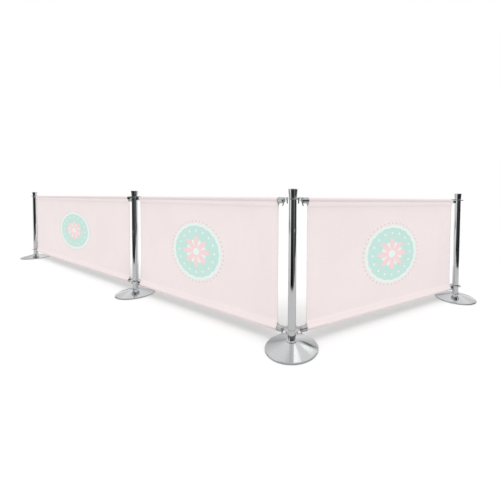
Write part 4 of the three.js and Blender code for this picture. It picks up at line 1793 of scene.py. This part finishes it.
def floor_finish():
    material, tree, shader, place = new_material("white_floor")
    mirrored, path = mirrored_rays(tree)
    tone = blended(tree, noise(tree, place, CREAM_SCALE), FLOOR_WHITE, FLOOR_CREAM)
    twice = maths(tree, "GREATER_THAN", path["Ray Depth"], ONE_MIRROR)
    in_mirror = blended(tree, twice, FLOOR_IN_METAL, FLOOR_MIRRORED_TWICE)
    feed(tree, shader.inputs, {
        "Base Color": blended(tree, mirrored, tone, in_mirror),
        "Emission Color": (1, 1, 1, 1),
        "Emission Strength": FLOOR_GLOW,
        "Roughness": 0.9,
        "Specular IOR Level": 0.0,
    })
    clear = node(tree, "ShaderNodeBsdfTransparent")[0]
    fade = floor_fade(tree, place, mirrored)
    surface = node(tree, "ShaderNodeMixShader", {0: fade, 1: shader.outputs[0], 2: clear})[0]
    feed(tree, tree.nodes["Material Output"].inputs, {"Surface": surface})
    return material


bm = bmesh.new()
bmesh.ops.create_grid(bm, x_segments=FLOOR_CELLS, y_segments=FLOOR_CELLS, size=FLOOR_HALF)
floor = mesh_object("floor", bm)
floor.data.materials.append(floor_finish())
print("floor is", 2 * FLOOR_HALF, "metres wide")

# %% [markdown]
# Chrome has no look of its own: it shows the room. A photographer puts white behind the posts and keeps the
# side of the camera dark, which gives bright edges round a black middle. The world does that here for
# mirrored rays only. A ray from the camera sees plain white, and soft light comes evenly from all sides. A
# direction is split in a compass heading and a height, which is -1 straight down and 1 straight up.

# %% Tones of the mirrored room
BEHIND = (134.5, 114.5, 4)
STRIP = (343, 17, 5)
STRIP_TONE = 0.11
FRONT_TONES = ((-0.35, 0.0, 0.004, 0.045), (0.16, 0.60, 0.0, 0.65))
BACK_TONES = ((-0.05, 0.35, 0.84, 0.60), (0.35, 0.75, 0.0, 0.20), (0.86, 0.92, 0.0, -0.28))


def towards(tree, heading, angle, half, soft):
    """1 for looks within half of the angle, with a soft edge, all in degrees."""
    way = Vector((math.cos(math.radians(angle)), math.sin(math.radians(angle)), 0))
    cosine = measured(tree, "DOT_PRODUCT", heading, way)
    return ramped(tree, cosine, math.cos(math.radians(half + soft)), math.cos(math.radians(half - soft)))


def tone_at(tree, height, ramps):
    """Ramps of (low, high, tone at low, tone at high), all added up."""
    total = ramped(tree, height, *ramps[0])
    for ramp in ramps[1:]:
        total = maths(tree, "ADD", total, ramped(tree, height, *ramp))
    return total


def room_tone(tree, heading, height):
    """Dark in front, with a pale ceiling and a faint strip to the right, and bright behind."""
    strip = maths(tree, "MULTIPLY", towards(tree, heading, *STRIP), STRIP_TONE)
    front = maths(tree, "ADD", tone_at(tree, height, FRONT_TONES), strip)
    return mixed(tree, towards(tree, heading, *BEHIND), front, tone_at(tree, height, BACK_TONES))


print("the room is bright behind the row, over", 2 * BEHIND[1], "degrees")

# %% [markdown]
# On the corner base the picture shows two pale wedges with a dark line beside them, as windows would draw
# them. Bright panes in the world give those wedges, and a narrow dark gap gives the line. A pane is a flat
# shape in heading and height: a place is inside it where it lies on the inner side of every edge. Three wide
# patches make the white behind the row a little darker or brighter, which shades the rest of the cone.

# %% Panes and patches of the mirrored room
HIGH_PANE = ((102.5, 0.780), (116.5, 0.780), (116.5, 0.920), (102.5, 0.920))
LOW_PANE = ((96.0, 0.538), (98.5, 0.520), (99.3, 0.565), (96.2, 0.700), (94.9, 0.713), (94.1, 0.670))
DARK_GAP = ((97.6, 0.475), (99.0, 0.435), (106.5, 0.300), (102.3, 0.425), (99.3, 0.478))
PANES = {"high": (HIGH_PANE, 1.25), "low": (LOW_PANE, 1.20), "gap": (DARK_GAP, 0.04)}
PANE_EDGE = 0.006
PATCHES = {
    "dim": ((121, 140), (-0.02, 0.35), 0.70),
    "left": ((150, 168), (0.05, 0.67), 1.22),
    "right": ((73, 85), (0.05, 0.67), 1.22),
}
PATCH_SIDE_EDGE = 3
PATCH_FOOT_EDGE = 0.04
PATCH_TOP_EDGE = 0.06


def in_patch(tree, heading, height, sides, heights):
    start, end = sides
    low, high = heights
    beside = towards(tree, heading, (start + end) / 2, (end - start) / 2, PATCH_SIDE_EDGE)
    over = ramped(tree, height, low - PATCH_FOOT_EDGE, low + PATCH_FOOT_EDGE)
    under = ramped(tree, height, high + PATCH_TOP_EDGE, high - PATCH_TOP_EDGE)
    return maths(tree, "MULTIPLY", beside, maths(tree, "MULTIPLY", over, under))


def in_pane(tree, compass, height, corners):
    spots = [Vector((math.radians(angle), up)) for angle, up in corners]
    within = 1.0
    for here, following in zip(spots, spots[1:] + spots[:1]):
        side = (following - here).normalized()
        across = maths(tree, "MULTIPLY_ADD", compass, -side.y, side.y * here.x - side.x * here.y)
        depth = maths(tree, "MULTIPLY_ADD", height, side.x, across)
        within = maths(tree, "MINIMUM", within, ramped(tree, depth, -PANE_EDGE, PANE_EDGE))
    return within


print("panes:", list(PANES), "patches:", list(PATCHES))

# %% [markdown]
# Now the world can be put together. Light Path tells a mirrored ray from the others. The soft light that
# falls on the pieces themselves is a little stronger from below, as a white floor throws light back up.

# %% World
SOFT_LIGHT = 0.50
LIGHT_FROM_BELOW = 1.15
HORIZON = 0.02


def world_light():
    world = bpy.data.worlds.new("studio")
    scene.world = world
    world.use_nodes = True
    world.cycles.sampling_method = "NONE"
    tree = world.node_tree
    tree.nodes.clear()
    x, y, height = parts_of(tree, node(tree, "ShaderNodeTexCoord")["Generated"])
    heading = vector_maths(tree, "NORMALIZE", vector_of(tree, X=x, Y=y))
    compass = maths(tree, "ARCTAN2", y, x)
    studio = room_tone(tree, heading, height)
    for sides, heights, share in PATCHES.values():
        within = in_patch(tree, heading, height, sides, heights)
        studio = maths(tree, "MULTIPLY", studio, maths(tree, "MULTIPLY_ADD", within, share - 1.0, 1.0))
    for corners, brightness in PANES.values():
        studio = mixed(tree, in_pane(tree, compass, height, corners), studio, brightness)
    mirrored, path = mirrored_rays(tree)
    soft = ramped(tree, height, -HORIZON, HORIZON, LIGHT_FROM_BELOW, SOFT_LIGHT)
    strength = mixed(tree, path["Is Camera Ray"], mixed(tree, mirrored, soft, studio), 1.0)
    light = node(tree, "ShaderNodeBackground", {"Color": (1, 1, 1, 1), "Strength": strength})[0]
    feed(tree, tree.nodes.new("ShaderNodeOutputWorld").inputs, {"Surface": light})
    return world


print("world:", world_light().name)

# %% [markdown]
# Three dark boards stand beside the row, and only mirrored rays see them: one on the right, one along the
# left, and one beside the far post. They keep the shaded side of each tube dark although the world behind it
# is white. They hang a little above the floor, so that the foot of each post shows the pale floor. Each has
# its two ends and its lower and upper edge, in metres.

# %% Dark boards for the chrome
BOARDS = {
    "board_right": ((2.15, 0.40), (1.80, 2.85), (0.03, 1.0)),
    "board_left": ((-3.60, -0.35), (-1.80, -0.35), (0.25, 1.6)),
    "board_far": ((-4.35, -1.99), (-3.20, -0.06), (0.22, 1.0)),
}
BOARD_BLACK = (0.02, 0.02, 0.02, 1)
BOARD_CUTS = 4


def dark_board(name, start, end, heights):
    low, high = heights
    corners = [(*start, low), (*end, low), (*end, high), (*start, high)]
    bm = bmesh.new()
    bm.faces.new([bm.verts.new(corner) for corner in corners])
    bmesh.ops.subdivide_edges(bm, edges=bm.edges, cuts=BOARD_CUTS, use_grid_fill=True)
    board = mesh_object(name, bm)
    board.visible_camera = False
    board.visible_diffuse = False
    board.visible_shadow = False
    material, tree, shader, _ = new_material(name)
    feed(tree, shader.inputs, {"Base Color": BOARD_BLACK, "Roughness": 1.0})
    board.data.materials.append(material)
    return board


boards = [dark_board(name, *edges) for name, edges in BOARDS.items()]
print("dark boards:", len(boards))

# %% [markdown]
# Two lamps stand high on the side of the camera, one to the left and one to the right, and lay the soft
# shadows on the floor behind the banners. A third hangs straight overhead and keeps the shadows short. All
# three are broad, which gives the shadows their soft edges. The chrome sees none of them, because its own
# bright shapes come from the world. The angles are in degrees.

# %% Lamps
LAMPS = {
    "left_lamp": {"azimuth": 272, "elevation": 60, "spread": 34, "strength": 0.85},
    "right_lamp": {"azimuth": 328, "elevation": 60, "spread": 34, "strength": 0.85},
    "top_lamp": {"azimuth": 300, "elevation": 90, "spread": 40, "strength": 0.90},
}
LAMP_DISTANCE = 4.0


def studio_lamp(name, azimuth, elevation, spread, strength):
    light = bpy.data.lights.new(name, "SUN")
    light.energy = strength
    light.angle = math.radians(spread)
    lamp = in_scene(name, light)
    level = math.cos(math.radians(elevation))
    to_lamp = Vector((
        math.cos(math.radians(azimuth)) * level,
        math.sin(math.radians(azimuth)) * level,
        math.sin(math.radians(elevation)),
    ))
    lamp.rotation_euler = to_lamp.to_track_quat("Z", "Y").to_euler()
    lamp.location = to_lamp * LAMP_DISTANCE
    lamp.visible_glossy = False
    return lamp


lamps = [studio_lamp(name, **settings) for name, settings in LAMPS.items()]
print("lamps:", len(lamps))

# %% [markdown]
# ## The camera
# The camera stands near the corner post, just below the height of the caps, and looks along the row with a
# wide lens. Its place was worked out from the tops, rims and feet of the posts in the picture. Yaw turns it
# to the left, pitch tips it down, and roll leans it over.

# %% Camera
CAMERA_PLACE = (0.7800, -1.2947, 0.8944)
CAMERA_YAW = math.radians(30.887)
CAMERA_PITCH = math.radians(1.735)
CAMERA_ROLL = math.radians(0.524)
LENS = 18.52
SENSOR = 36.0
SHIFT = (-0.0874, -0.0877)
CLIP_START = 0.05

camera_data = bpy.data.cameras.new("camera")
camera_data.sensor_width = SENSOR
camera_data.lens = LENS
camera_data.shift_x, camera_data.shift_y = SHIFT
camera_data.clip_start = CLIP_START
camera = in_scene("camera", camera_data)
level_ahead = Vector((-math.sin(CAMERA_YAW), math.cos(CAMERA_YAW), 0))
level_right = Vector((math.cos(CAMERA_YAW), math.sin(CAMERA_YAW), 0))
up = Vector((0, 0, 1))
ahead = level_ahead * math.cos(CAMERA_PITCH) - up * math.sin(CAMERA_PITCH)
camera_up = level_ahead * math.sin(CAMERA_PITCH) + up * math.cos(CAMERA_PITCH)
right_way = level_right * math.cos(CAMERA_ROLL) + camera_up * math.sin(CAMERA_ROLL)
up_way = camera_up * math.cos(CAMERA_ROLL) - level_right * math.sin(CAMERA_ROLL)
turned_camera = Matrix((right_way, up_way, -ahead)).transposed().to_4x4()
camera.matrix_world = Matrix.Translation(CAMERA_PLACE) @ turned_camera
scene.camera = camera
scene.view_settings.view_transform = "Standard"
print("camera stands at", CAMERA_PLACE)
